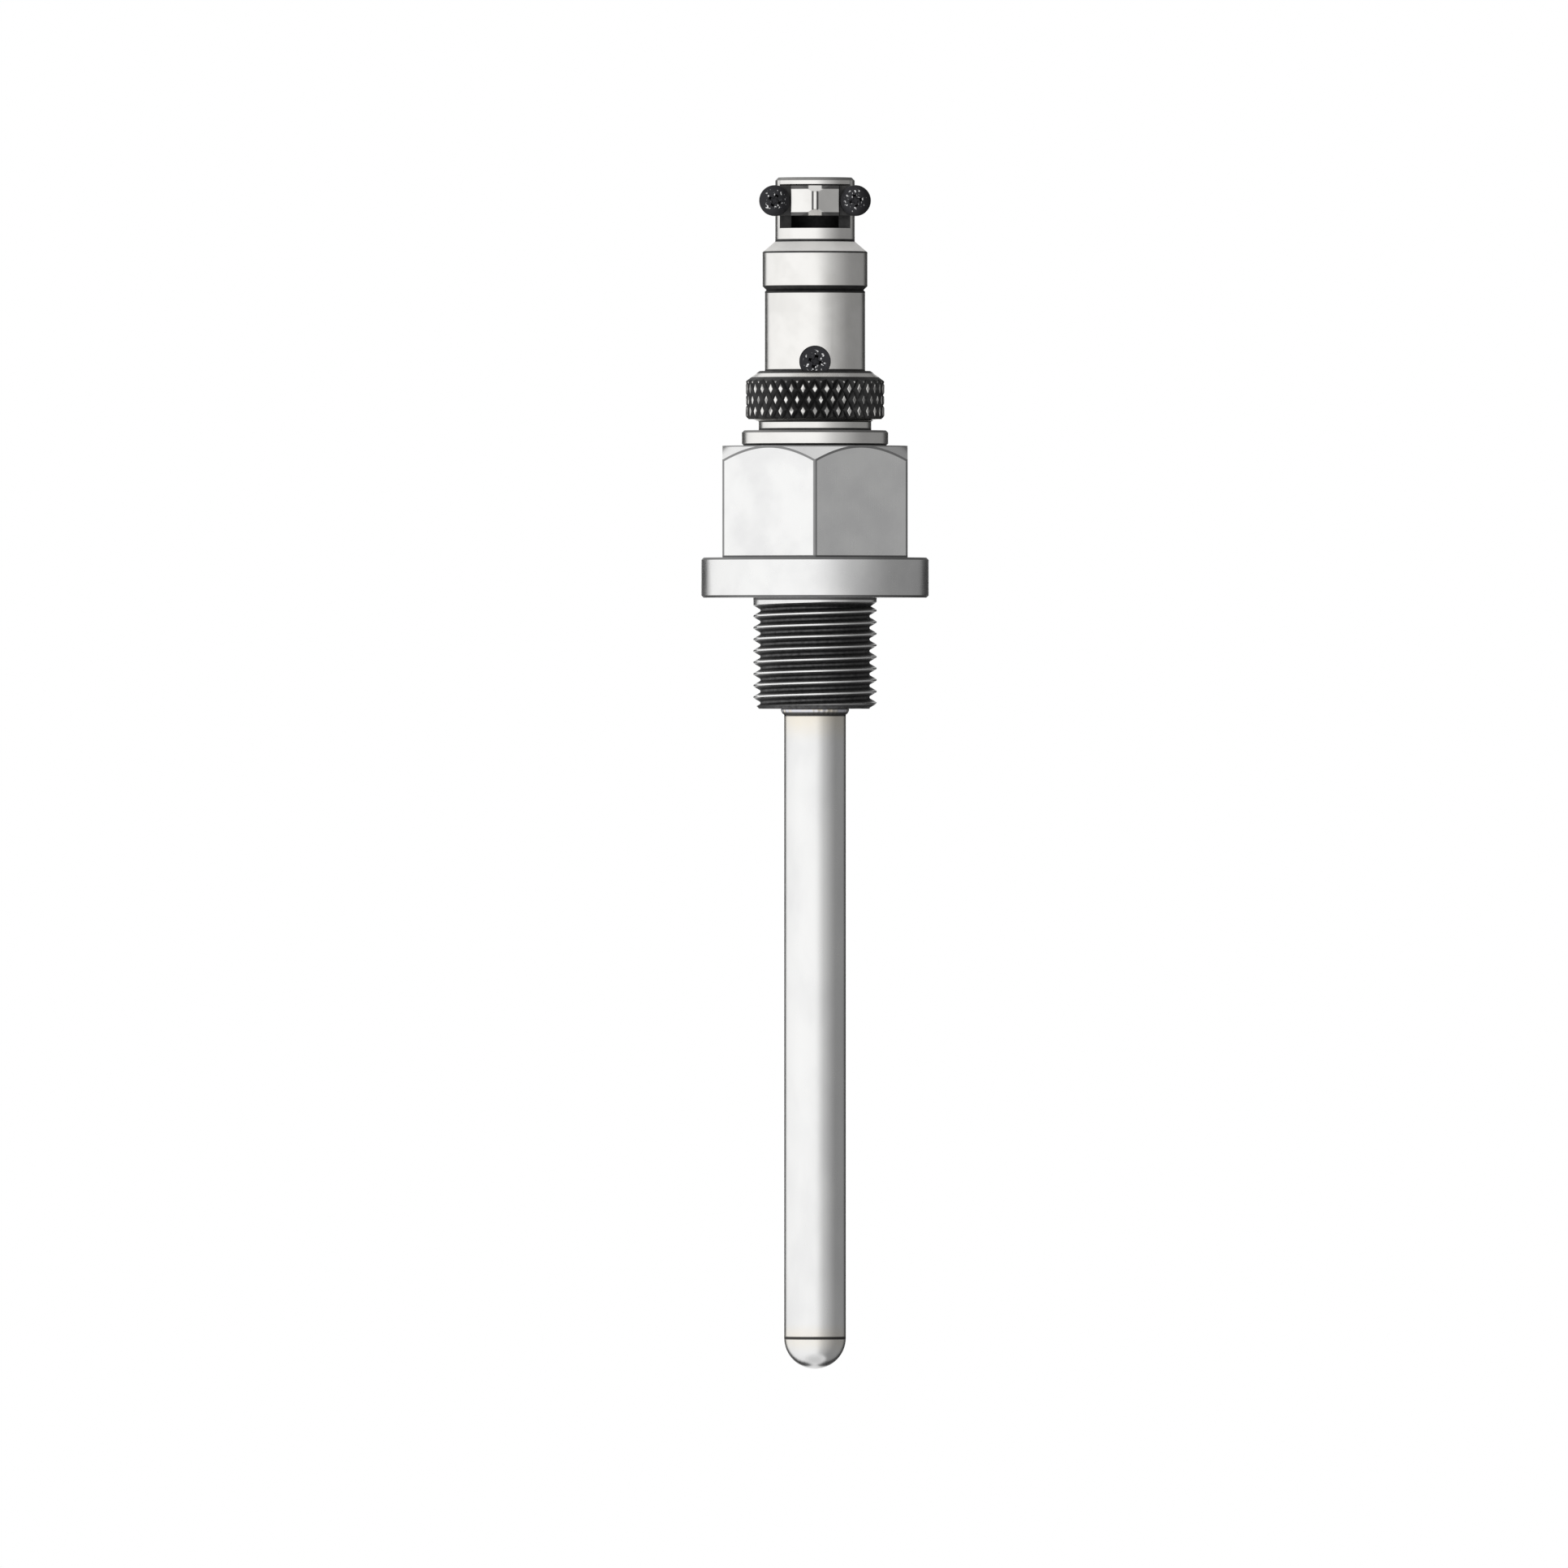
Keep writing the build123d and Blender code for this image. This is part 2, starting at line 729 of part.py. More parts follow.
def make_coupling_ring():
    """Threaded ring with an inward lip at its top and a diamond knurl round its outside."""
    outer = ring_radius
    lip = barrel_radius + running_fit
    chamfer_base = ring_top - ring_top_chamfer_height
    ring = turned(
        (ring_bore, ring_base),
        (outer - ring_bottom_chamfer, ring_base),
        (outer, ring_base + ring_bottom_chamfer),
        (outer, chamfer_base),
        (lip + ring_top_land, ring_top),
        (lip, ring_top),
        (lip, washer_top),
        (ring_bore, washer_top),
    )
    # Each groove is a straight V that leans across the band, and the two leans cross in diamonds
    band_middle = (ring_base + chamfer_base) / 2
    reach = 2 * knurl_depth
    groove = Polygon((0, 0), (reach, reach), (reach, -reach), align=None)
    for lean in (knurl_lean, -knurl_lean):
        run = Rot(lean, 0, 0) * extrude(groove, outer, both=True)
        first = Pos(outer - knurl_depth, 0, band_middle) * run
        ring = ring - [Rot(0, 0, 360 * i / knurl_count) * first for i in range(knurl_count)]
    return ring


pieces = {
    "fitting_body": make_fitting_body(),
    "sheath_tube": make_sheath_tube(),
    "sheath_tip": make_sheath_tip(),
    "sheath_weld": make_sheath_weld(),
    "receptacle_shell": make_receptacle_shell(),
    "receptacle_seal": make_receptacle_seal(),
    "receptacle_insert": make_receptacle_insert(),
    "insert_circlip": make_insert_circlip(),
    "epoxy_seal": make_epoxy_seal(),
    "rtd_element": make_rtd_element(),
    "tip_filler": make_tip_filler(),
    "plug_shell": make_plug_shell(),
    "plug_gasket": make_plug_gasket(),
    "plug_insert": make_plug_insert(),
    "insert_lock_screw": make_insert_lock_screw(),
    "back_shell": make_back_shell(),
    "clamp_saddle": make_clamp_saddle(),
    "clamp_screw_left": make_clamp_screw(-1),
    "clamp_screw_right": make_clamp_screw(1),
    "ring_slip_washer": make_ring_slip_washer(),
    "coupling_ring": make_coupling_ring(),
}

round_pieces = {
    "contact_pin": make_contact_pin(),
    "socket_contact": make_socket_contact(),
    "solder_sleeve": make_solder_sleeve(),
}
for name, piece in round_pieces.items():
    for number, copy in enumerate(around(contact_circle, contact_count, piece), 1):
        pieces[f"{name}_{number}"] = copy

for number in range(1, contact_count + 1):
    pieces[f"lead_wire_{number}"] = make_lead_wire(360 / contact_count * (number - 0.5))

for number in range(1, bead_count + 1):
    pieces[f"insulator_bead_{number}"] = make_insulator_bead(number - 1)

for number, side in ((1, 1), (2, -1)):
    pieces[f"lead_splice_{number}"] = make_lead_splice(side)
    pieces[f"element_lead_{number}"] = make_element_lead(side)

os.makedirs("parts", exist_ok=True)
for name, piece in pieces.items():
    export_step(piece, f"parts/{name}.step")
    print(name, round(piece.volume, 2))
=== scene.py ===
# %% [markdown]
# # A screw-in temperature probe with a plug-and-socket head
#
# The part comes from a CAD model as 44 plain solids. This lesson keeps every solid where it is and gives
# each one the surface that it has in the workshop: drawn and turned stainless steel, nickel-plated brass,
# black insulators, gold contacts. The threads, the ripples of the weld, the recesses of the screws and the
# soft edges of the clamp are too fine for the CAD model, so a few solids get a finer piece in their place.
# Sizes of the probe are in millimetres, and MM turns them into the metres that Blender works in. The studio
# round the probe is in metres.

# %% Load the frame
import bmesh
import bpy
import math
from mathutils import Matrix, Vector


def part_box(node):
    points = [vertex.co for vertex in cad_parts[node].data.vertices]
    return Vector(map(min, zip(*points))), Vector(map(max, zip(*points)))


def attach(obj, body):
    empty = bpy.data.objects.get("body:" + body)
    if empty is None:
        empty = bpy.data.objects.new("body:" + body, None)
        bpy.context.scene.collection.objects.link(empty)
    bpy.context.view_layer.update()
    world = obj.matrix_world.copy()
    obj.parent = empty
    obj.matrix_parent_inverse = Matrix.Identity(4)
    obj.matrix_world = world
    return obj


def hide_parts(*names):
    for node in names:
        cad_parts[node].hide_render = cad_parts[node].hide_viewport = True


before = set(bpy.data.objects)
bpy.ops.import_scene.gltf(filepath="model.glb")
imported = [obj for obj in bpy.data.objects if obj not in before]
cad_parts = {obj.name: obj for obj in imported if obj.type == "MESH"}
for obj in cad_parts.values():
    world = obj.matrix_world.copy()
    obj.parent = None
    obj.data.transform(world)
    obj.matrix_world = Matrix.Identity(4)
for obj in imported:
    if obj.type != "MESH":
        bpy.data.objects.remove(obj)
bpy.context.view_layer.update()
MM = 0.001

# %% [markdown]
# ## Measuring the solids
#
# A stain in a corner or a new screw has to sit exactly on its solid. The places could be typed in, but the
# solid itself knows them best. This helper reads the two corners of a solid's box, and later cells take
# heights and radii from it.

# %% Box of a solid
def solid_box(node):
    """Lowest and highest corner of a CAD solid, in millimetres."""
    low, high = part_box(node)
    return low / MM, high / MM


fitting_low, fitting_high = solid_box("fitting_body")
print("the fitting reaches from", round(fitting_low.z, 2), "to", round(fitting_high.z, 2), "mm")

# %% [markdown]
# ## The camera
#
# The picture looks straight at the probe's side, with no perspective to speak of. An orthographic camera
# would do that too, but a very long lens from almost six metres away is how such pictures are really taken,
# and it keeps a trace of depth. Its aim is worked out from two lines in the picture, the flange's underside
# and the probe's axis.

# %% Camera
PICTURE_PIXELS = 1932
PIXELS_PER_MM = 9.5
AXIS_COLUMN = 1004.2
FLANGE_ROW = 736.5
CAMERA_DISTANCE = 5.8
CAMERA_REACH = 100
SENSOR_MM = 36.0

picture_width = PICTURE_PIXELS / PIXELS_PER_MM * MM
aim_x = (PICTURE_PIXELS / 2 - AXIS_COLUMN) / PIXELS_PER_MM * MM
aim_z = (FLANGE_ROW - PICTURE_PIXELS / 2) / PIXELS_PER_MM * MM

bpy.ops.object.camera_add(location=(aim_x, -CAMERA_DISTANCE, aim_z), rotation=(math.radians(90), 0, 0))
camera = bpy.context.active_object
camera.data.sensor_width = SENSOR_MM
camera.data.lens = CAMERA_DISTANCE * SENSOR_MM / picture_width
camera.data.clip_end = CAMERA_REACH
bpy.context.scene.camera = camera
bpy.context.scene.view_settings.view_transform = "Standard"
print("lens", round(camera.data.lens), "mm")

# %% [markdown]
# ## Shader maths as Python
#
# A finish is a sum of small effects, and sums are easier to read as expressions than as a web of nodes.
# `Value` wraps one socket, so that `1 - mask * 0.4` adds the Math nodes by itself. Most masks ask where a
# place lies: `over`, `under` and `between` give 1 where that is true and 0 elsewhere, with an edge as soft
# as asked. Of two masks, `one | other` keeps the stronger.

# %% Values in expressions
SOFT_EDGE = 0.05


class Value:
    """One socket of a shader, which can stand in an expression."""

    def __init__(self, graph, socket):
        self.graph = graph
        self.socket = socket

    def sibling(self, output):
        """Another output of the same node."""
        return Value(self.graph, self.socket.node.outputs[output])

    def math(self, operation, *others):
        return self.graph.node("Math", {"operation": operation}, dict(enumerate((self, *others))))

    def __add__(self, other):
        return self.math("ADD", other)

    def __mul__(self, other):
        return self.math("MULTIPLY", other)

    def __sub__(self, other):
        return self.math("SUBTRACT", other)

    def __rsub__(self, other):
        return self.graph.node("Math", {"operation": "SUBTRACT"}, {0: other, 1: self})

    def __truediv__(self, other):
        return self.math("DIVIDE", other)

    def __pow__(self, other):
        return self.math("POWER", other)

    def __abs__(self):
        return self.math("ABSOLUTE")

    def __or__(self, other):
        return self.math("MAXIMUM", other)

    def rise(self, low, high):
        """0 below low, 1 above high, and a smooth rise between."""
        sockets = {"Value": self, "From Min": low, "From Max": high}
        return self.graph.node("MapRange", {"interpolation_type": "SMOOTHSTEP"}, sockets)

    def over(self, limit, soft=SOFT_EDGE):
        return self.rise(limit - soft, limit + soft)

    def under(self, limit, soft=SOFT_EDGE):
        return 1 - self.over(limit, soft)

    def between(self, low, high, soft=SOFT_EDGE):
        return self.over(low, soft) * self.under(high, soft)

    __radd__ = __add__
    __rmul__ = __mul__


# %% [markdown]
# ## Any other node
#
# Materials and the world keep their nodes in the same kind of tree, so one class serves both. `node` adds a
# node of any type: its settings come first, because they can change which sockets it has, and then the
# numbers or links of its sockets. Colours are never added or multiplied with Math nodes, which would turn
# them grey. They go through `mix`.

# %% Graphs of nodes
class Graph:
    """The node tree of a material or of the world."""

    def __init__(self, tree):
        self.tree = tree
        tree.nodes.clear()

    def node(self, kind, settings=None, sockets=None, output=0):
        """Adds one node: its settings first, then each socket's number or link."""
        new = self.tree.nodes.new("ShaderNode" + kind)
        for name, setting in (settings or {}).items():
            if name == "stops":
                self.fill_ramp(new.color_ramp.elements, setting)
            else:
                setattr(new, name, setting)
        for name, given in (sockets or {}).items():
            if isinstance(given, Value):
                self.tree.links.new(given.socket, new.inputs[name])
            else:
                new.inputs[name].default_value = given
        return Value(self, new.outputs[output]) if len(new.outputs) else None

    def fill_ramp(self, elements, stops):
        """A new ramp has two stops, so the inner ones are added and the outer two are set."""
        for place, colour in stops[1:-1]:
            elements.new(place).color = colour
        elements[0].position, elements[0].color = stops[0]
        elements[-1].position, elements[-1].color = stops[-1]

    def mix(self, share, first, second):
        """One colour that goes over into another."""
        return self.node("Mix", {"data_type": "RGBA"}, {0: share, 6: first, 7: second}, output=2)


# %% [markdown]
# ## The studio
#
# Polished metal has almost no colour of its own and shows the room, so the room is painted first. It could
# be built from lamps and boards, but a round bar only mirrors directions, so the world paints a tone for
# each direction. Seen from the probe, the left and the front are a bright sheet of light, which falls away
# to dark grey on the right, and two dark screens stand behind, one to each side. A round bar then shows
# white on its left, grey on its right and a dark line down each edge, as in the picture. Bearings are in
# degrees: 0 is towards the camera, 90 to the right.

# %% Tones of the walls
TONES_BY_BEARING = (
    (-180, 0.80),
    (-134, 0.92),
    (-60, 1.00),
    (4, 0.98),
    (30, 0.56),
    (60, 0.34),
    (80, 0.23),
    (168, 0.23),
    (174, 0.75),
    (180, 0.80),
)


def grey(tone):
    return (tone, tone, tone, 1.0)


stops = [((bearing + 180) / 360, grey(tone)) for bearing, tone in TONES_BY_BEARING]
print("walls with", len(stops), "tones")

# %% [markdown]
# ### Walls, screens and ceiling
#
# A direction's bearing comes from its two level parts, and a colour ramp turns it into a tone. The screens
# end a little above eye level and the ceiling is one even tone, so that faces which look up do not mirror
# the dark strips.

# %% Walls, screens and ceiling
SCREEN_FROM = 139
SCREEN_TO = 169
SCREEN_EDGE = 3
SCREEN_TOP = 0.36
SCREEN_TONE = 0.02
CEILING_FROM = 0.80
CEILING_TO = 0.98
CEILING_TONE = 0.72

world = bpy.data.worlds.new("studio")
world.use_nodes = True
bpy.context.scene.world = world
room = Graph(world.node_tree)
to_right = room.node("SeparateXYZ", None, {0: room.node("TexCoord", None, None, "Generated")})
to_camera = 0 - to_right.sibling("Y")
up = to_right.sibling("Z")
bearing = to_right.math("ARCTAN2", to_camera)
walls = room.node("ValToRGB", {"stops": stops}, {0: bearing / math.tau + 0.5})
screen_edges = [math.radians(angle) for angle in (SCREEN_FROM, SCREEN_TO, SCREEN_EDGE)]
screens = abs(bearing).between(*screen_edges) * up.under(SCREEN_TOP)
around = room.mix(screens, walls, grey(SCREEN_TONE))
tones = room.mix(up.rise(CEILING_FROM, CEILING_TO), around, grey(CEILING_TONE))
print("room with", len(room.tree.nodes), "nodes")

# %% [markdown]
# ### What each ray sees
#
# The camera looks past the probe at plain white paper, and so does whatever is seen through a clear piece.
# Only mirrored rays see the painted room, a little brighter than it is painted. All other rays, which light
# the matt surfaces, meet one even tone.

# %% What each ray sees
SHEET_LIGHT = 1.22
FILL_LIGHT = 0.72

mirrored_room = room.node("VectorMath", {"operation": "SCALE"}, {0: tones, "Scale": SHEET_LIGHT})
camera_ray = room.node("LightPath", None, None, "Is Camera Ray")
sees_paper = camera_ray | camera_ray.sibling("Is Transmission Ray")
lit = room.mix(camera_ray.sibling("Is Glossy Ray"), grey(FILL_LIGHT), mirrored_room)
sky = room.node("Background", None, {"Color": room.mix(sees_paper, lit, grey(1.0))})
room.node("OutputWorld", None, {"Surface": sky})
print("world with", len(room.tree.nodes), "nodes")

# %% [markdown]
# ## The floor
#
# The probe is held in the air, as in its boss, so the floor lies below the picture. It is a pale disc that
# keeps a soft shadow in its middle and turns to the white of the paper towards its rim, so that no edge of
# it shows from any side. A wide floor would fill the lower half of every reflection, so this one is small
# and lies low, and the round tip of the sheath mirrors the room instead.

# %% Floor disc
ROUND_STEPS = 96
FLOOR_HEIGHT = -0.38
FLOOR_RADIUS = 0.15

bpy.ops.object.select_all(action="DESELECT")
bpy.ops.mesh.primitive_circle_add(
    vertices=ROUND_STEPS, radius=FLOOR_RADIUS, fill_type="NGON", location=(0, 0, FLOOR_HEIGHT)
)
floor = bpy.context.active_object
floor.name = "studio_floor"
bpy.ops.object.mode_set(mode="EDIT")
bpy.ops.mesh.inset(thickness=FLOOR_RADIUS / 2)
bpy.ops.object.mode_set(mode="OBJECT")
print("floor", len(floor.data.polygons), "faces")

# %% [markdown]
# ### The floor's paint
#
# Matt paper catches the shadow, and paper that glows at a strength of 1 is exactly as white as the
# background. The distance from the middle mixes the one into the other, and only for rays that someone
# looks along, so that the glow throws no light on the probe.

# %% Floor paint
SHADOW_RADIUS = 0.06
WHITE_RADIUS = 0.135
FLOOR_TONE = 0.93

floor_paint = bpy.data.materials.new("floor_paint")
floor_paint.use_nodes = True
paper = Graph(floor_paint.node_tree)
place = paper.node("TexCoord", None, None, "Object")
from_middle = paper.node("VectorMath", {"operation": "LENGTH"}, {0: place}, "Value")
ray = paper.node("LightPath", None, None, "Is Camera Ray")
looked_along = ray | ray.sibling("Is Glossy Ray") | ray.sibling("Is Transmission Ray")
matt = paper.node("BsdfDiffuse", None, {"Color": grey(FLOOR_TONE)})
glowing = paper.node("Emission", None, {"Color": grey(1.0)})
share = from_middle.rise(SHADOW_RADIUS, WHITE_RADIUS) * looked_along
surface = paper.node("MixShader", None, {0: share, 1: matt, 2: glowing})
paper.node("OutputMaterial", None, {"Surface": surface})
floor.data.materials.append(floor_paint)
print("floor paint with", len(paper.tree.nodes), "nodes")

# %% [markdown]
# ## Lamps
#
# Two soft lamps give the matt pieces a light side and a shadow. Mirror-like metal would show them as bright
# squares, so they are hidden from reflections, and the painted room alone makes the reflections.

# %% Lamps
LAMPS = (
    ("key", (-0.55, -0.85, 0.60), 0.60, 3.2),
    ("rear", (0.60, 0.80, 0.50), 0.70, 1.4),
)
for name, spot, size, watts in LAMPS:
    bpy.ops.object.light_add(type="AREA", location=spot)
    lamp = bpy.context.active_object
    lamp.name = name
    lamp.data.size = size
    lamp.data.energy = watts
    lamp.rotation_euler = (-Vector(spot)).to_track_quat("-Z", "Y").to_euler()
    lamp.visible_glossy = False
    print(name, "lamp of", watts, "W")

# %% [markdown]
# ## A finish and its coordinates
#
# Nearly every piece is round about one axis, so a finish reads two numbers from the place on the surface,
# the height along the axis and the distance from it. A third number says which way the surface faces: 0 on
# a wall, 1 on a level face, and about 0.7 on a chamfer. Image textures would need an unwrapped piece. These
# numbers fit every piece as it is.

# %% Finish
CHAMFER_FROM = 0.55
CHAMFER_TO = 0.88


class Finish(Graph):
    """One material, which knows the surface's place in millimetres and how it faces."""

    def __init__(self, name):
        self.material = bpy.data.materials.new(name)
        self.material.use_nodes = True
        super().__init__(self.material.node_tree)
        coordinates = self.node("TexCoord", None, None, "Object")
        self.place = self.node("VectorMath", {"operation": "SCALE"}, {0: coordinates, "Scale": 1 / MM})
        self.x = self.node("SeparateXYZ", None, {0: self.place})
        self.y = self.x.sibling("Y")
        self.height = self.x.sibling("Z")
        self.radius = (self.x * self.x + self.y * self.y) ** 0.5
        facing = self.node("SeparateXYZ", None, {0: coordinates.sibling("Normal")})
        self.upright = abs(facing.sibling("Z"))
        self.chamfer = self.upright.between(CHAMFER_FROM, CHAMFER_TO)

    def paint(self, colour, roughness, relief, depth, metallic=0.0):
        """Joins colour, roughness and relief in one shader. A relief of 1 is depth millimetres high."""
        bump = self.node("Bump", None, {"Strength": 1.0, "Distance": depth * MM, "Height": relief})
        sockets = {"Base Color": colour, "Roughness": roughness, "Metallic": metallic, "Normal": bump}
        self.node("OutputMaterial", None, {"Surface": self.node("BsdfPrincipled", None, sockets)})
        print(self.material.name, "with", len(self.tree.nodes), "nodes")
        return self.material


# %% [markdown]
# ## Tool marks, stains and painted shade
#
# Three things make a metal surface look real from close by. A lathe tool leaves rings, which follow the
# height on a wall and the distance on an end face. Handling leaves soft stains. The inner corners get thin
# dark lines of painted shade. All of them are noise or bands over the finish's numbers, so that nothing
# repeats and nothing stretches.

# %% Tool marks, stains and painted shade
END_FACE = 0.7
LEVEL_FACE = 0.935
LINE_EDGE = 0.04
STAIN_FROM = 0.35
STAIN_TO = 0.75


def blotches(skin, size, detail=2.0, stretch=None):
    """Soft blotches of about that size. A stretch below 1 draws them out along that axis."""
    place = skin.place
    if stretch:
        place = skin.node("VectorMath", {"operation": "MULTIPLY"}, {0: place, 1: stretch})
    return skin.node("TexNoise", None, {"Vector": place, "Scale": 1 / size, "Detail": detail})


def rings(skin, spacing):
    """Tool marks of a lathe, fine and coarse: round the wall, and round the centre of an end face."""
    on_end = skin.upright.over(END_FACE, 0.1)
    along = skin.node("Mix", {"data_type": "FLOAT"}, {0: on_end, 2: skin.height, 3: skin.radius})
    marks = 0
    for width, strength in ((spacing, 0.6), (spacing * 5, 0.4)):
        sockets = {"W": along, "Scale": 1 / width, "Detail": 3.0, "Roughness": 0.7}
        marks = skin.node("TexNoise", {"noise_dimensions": "1D"}, sockets) * strength + marks
    return marks


def stained(skin, fresh, dull, size, stretch=None):
    """A fresh colour with soft stains of a duller one."""
    return skin.mix(blotches(skin, size, 3.0, stretch).rise(STAIN_FROM, STAIN_TO), fresh, dull)


def painted_corner_shade(skin, corners):
    """Thin dark lines of painted shade on turned walls: for each, two heights and the radius that it lies
    inside.
    """
    # Painted shade: each inner corner gets a dark line.
    painted_shade = 0
    for low, high, inside in corners:
        line = skin.height.between(low, high, LINE_EDGE) * skin.radius.under(inside + 0.025, 0.025)
        painted_shade = line | painted_shade
    return painted_shade * skin.upright.under(LEVEL_FACE, 0.035)


# %% [markdown]
# ### Steel of the fitting
#
# The fitting is turned from drawn hexagon bar. Its flats keep the long streaks of the drawing die and its
# round faces get rings from the lathe. Thin dark lines of painted shade run along the hexagon's corners,
# along the arcs where the turned cone cuts the flats, round the top, on the flange's chamfers and in the
# inner corners. The thread's roots are painted dark too, as painted shade. The streaks and the rings could
# be two materials, but then each face would have to be assigned by hand, so one material tells the faces
# apart by itself.

# %% Steel of the fitting
STEEL = (0.775, 0.775, 0.770, 1.0)
STEEL_DULL = (0.700, 0.700, 0.700, 1.0)
# The dark colour of the painted shade on the steel.
SHADE_FILM_COLOUR = (0.020, 0.020, 0.022, 1.0)
WALL_FACE = 0.15
FLANGE_TOP = 5.2
FLANGE_RADIUS = fitting_high.x
HEX_TOP = fitting_high.z
HEX_ACROSS = 24.0
HEX_CORNER = HEX_ACROSS / math.sqrt(3)
CONE_FACE = 0.85
THREAD_TOP = -0.35
# Radii between which the painted shade in the thread's roots fades out towards the crests.
SHADED_INSIDE = 7.62
UNSHADED_OUTSIDE = 7.99
FITTING_CORNERS = ((FLANGE_TOP - 0.10, FLANGE_TOP + 0.25, 14.0), (-0.30, 0.10, 8.1))


def hexagon_edge_shade(skin, on_flats):
    """Lines of painted shade: the corners, the arcs under the cone, where height and radius have one sum,
    and the top's rim.
    """
    corners = skin.radius.over(HEX_CORNER - 0.14, 0.03)
    arcs = (skin.height + skin.radius).over(HEX_TOP + HEX_ACROSS / 2 - 0.32, 0.04)
    top_rim = skin.height.over(HEX_TOP - 0.16, 0.04) * skin.upright.under(CONE_FACE)
    return (corners | arcs) * on_flats | top_rim


def fitting_steel():
    skin = Finish("fitting_steel")
    on_flats = skin.height.between(FLANGE_TOP, HEX_TOP, 0.02) * skin.upright.under(WALL_FACE)
    streaks = blotches(skin, 0.10, 3.0, (1, 1, 0.02))
    marks = rings(skin, 0.11) * (1 - on_flats) + streaks * on_flats
    smears = blotches(skin, 1.1, 4.0, (1, 1, 0.6))
    # Painted shade: the thread's roots, the flange's chamfers, the inner corners and the hexagon's edges
    # are darkened.
    roots = skin.height.under(THREAD_TOP - 0.20, 0.15) * (1 - skin.radius.rise(SHADED_INSIDE, UNSHADED_OUTSIDE))
    shade_film = roots * (0.80 + 0.20 * blotches(skin, 0.5))
    flange_edge = skin.chamfer * skin.radius.over(FLANGE_RADIUS - 0.40)
    shade_film = shade_film | flange_edge * 0.75 | painted_corner_shade(skin, FITTING_CORNERS) * 0.85
    shade_film = shade_film | hexagon_edge_shade(skin, on_flats) * 0.70
    colour = skin.mix(shade_film, stained(skin, STEEL, STEEL_DULL, 5.0), SHADE_FILM_COLOUR)
    roughness = 0.20 + 0.07 * smears + 0.05 * marks + 0.25 * shade_film
    relief = marks + smears.rise(0.62, 0.66) * 0.15
    return skin.paint(colour, roughness, relief, 0.0035, metallic=1.0)


fitting_finish = fitting_steel()

# %% [markdown]
# ### Steel of the sheath
#
# The sheath is a ground tube with a round cap welded into its end. Grinding leaves very fine rings. The
# heat of a weld leaves a faint straw tint, strongest beside the weld, so the tint follows the height. The
# cap's joint is a dark hairline, and a little relief there catches the light as the real groove does.

# %% Steel of the sheath
STRAW = (0.760, 0.690, 0.560, 1.0)
SEAM = (0.060, 0.058, 0.055, 1.0)
WELD_FOOT = solid_box("sheath_weld")[0].z
TIP_SEAM = solid_box("sheath_tube")[0].z


def sheath_steel():
    skin = Finish("sheath_steel")
    marks = rings(skin, 0.09)
    smears = blotches(skin, 0.9, 4.0, (1, 1, 0.25))
    from_seam = abs(skin.height - TIP_SEAM)
    hot_at_weld = skin.height.rise(WELD_FOOT - 4.0, WELD_FOOT - 0.4)
    hot_at_seam = 1 - from_seam.rise(0.3, 2.2)
    tint = (hot_at_weld | hot_at_seam * 0.6) * (0.35 + 0.4 * blotches(skin, 1.4))
    seam = 1 - from_seam.rise(0.12, 0.25)
    scale = skin.height.rise(WELD_FOOT - 0.25, WELD_FOOT - 0.10)
    colour = stained(skin, STEEL, STEEL_DULL, 6.0, (1, 1, 0.5))
    colour = skin.mix(tint, colour, STRAW)
    colour = skin.mix(seam | scale, colour, SEAM)
    roughness = 0.21 + 0.06 * smears + 0.04 * marks + 0.3 * seam
    return skin.paint(colour, roughness, marks - 12.0 * seam, 0.0025, metallic=1.0)


sheath_finish = sheath_steel()

# %% [markdown]
# ### Weld metal
#
# A weld bead is smooth, a little wavy and tinted by its own heat, from straw to blue, and it has dark scale
# at its foot, where nobody brushes. The ripples themselves are modelled further on, so the material only
# adds the fine waves between them.

# %% Weld metal
BEAD_STRAW = (0.68, 0.63, 0.54, 1.0)
BEAD_BLUE = (0.62, 0.62, 0.66, 1.0)


def weld_steel():
    skin = Finish("weld_steel")
    scale = 1 - skin.height.rise(WELD_FOOT + 0.25, WELD_FOOT + 0.45)
    colour = skin.mix(blotches(skin, 0.8).rise(0.30, 0.55), BEAD_STRAW, BEAD_BLUE)
    colour = skin.mix(scale * 0.95, colour, SEAM)
    roughness = 0.24 + 0.12 * blotches(skin, 0.3) + 0.2 * scale
    return skin.paint(colour, roughness, blotches(skin, 0.25), 0.012, metallic=1.0)


weld_finish = weld_steel()

# %% [markdown]
# ### Nickel-plated brass
#
# The head is turned from brass and plated with satin nickel, a shade warmer than the steel. All of its
# pieces share this plating and differ only in where a dark film of painted shade lies, so the film's mask
# is handed in as a function. A second function may mark a face that the lathe left coarse: it scatters the
# light and mirrors less.

# %% Nickel plating
NICKEL = (0.780, 0.770, 0.750, 1.0)
NICKEL_DULL = (0.710, 0.700, 0.680, 1.0)
# The dark colour of the painted shade on the plating.
NICKEL_SHADE_COLOUR = (0.016, 0.016, 0.017, 1.0)


def nickel_plate(name, painted_shade, chamfers=0.75, coarse=None):
    """Satin plating with a dark film of painted shade where the given mask says and, as strong as chamfers
    says, on the chamfers.
    """
    skin = Finish(name)
    marks = rings(skin, 0.13)
    smears = blotches(skin, 0.8, 4.0)
    # Painted shade on the chamfers and wherever the given mask says.
    shade_film = skin.chamfer * chamfers | painted_shade(skin)
    colour = stained(skin, NICKEL, NICKEL_DULL, 4.0)
    colour = skin.mix(shade_film * (0.92 + 0.08 * smears), colour, NICKEL_SHADE_COLOUR)
    roughness = 0.17 + 0.08 * smears + 0.07 * marks + 0.30 * shade_film
    metallic = 1.0
    if coarse:
        scattering = coarse(skin)
        roughness = roughness + 0.35 * scattering
        metallic = 1 - 0.70 * scattering
    return skin.paint(colour, roughness, marks, 0.004, metallic)
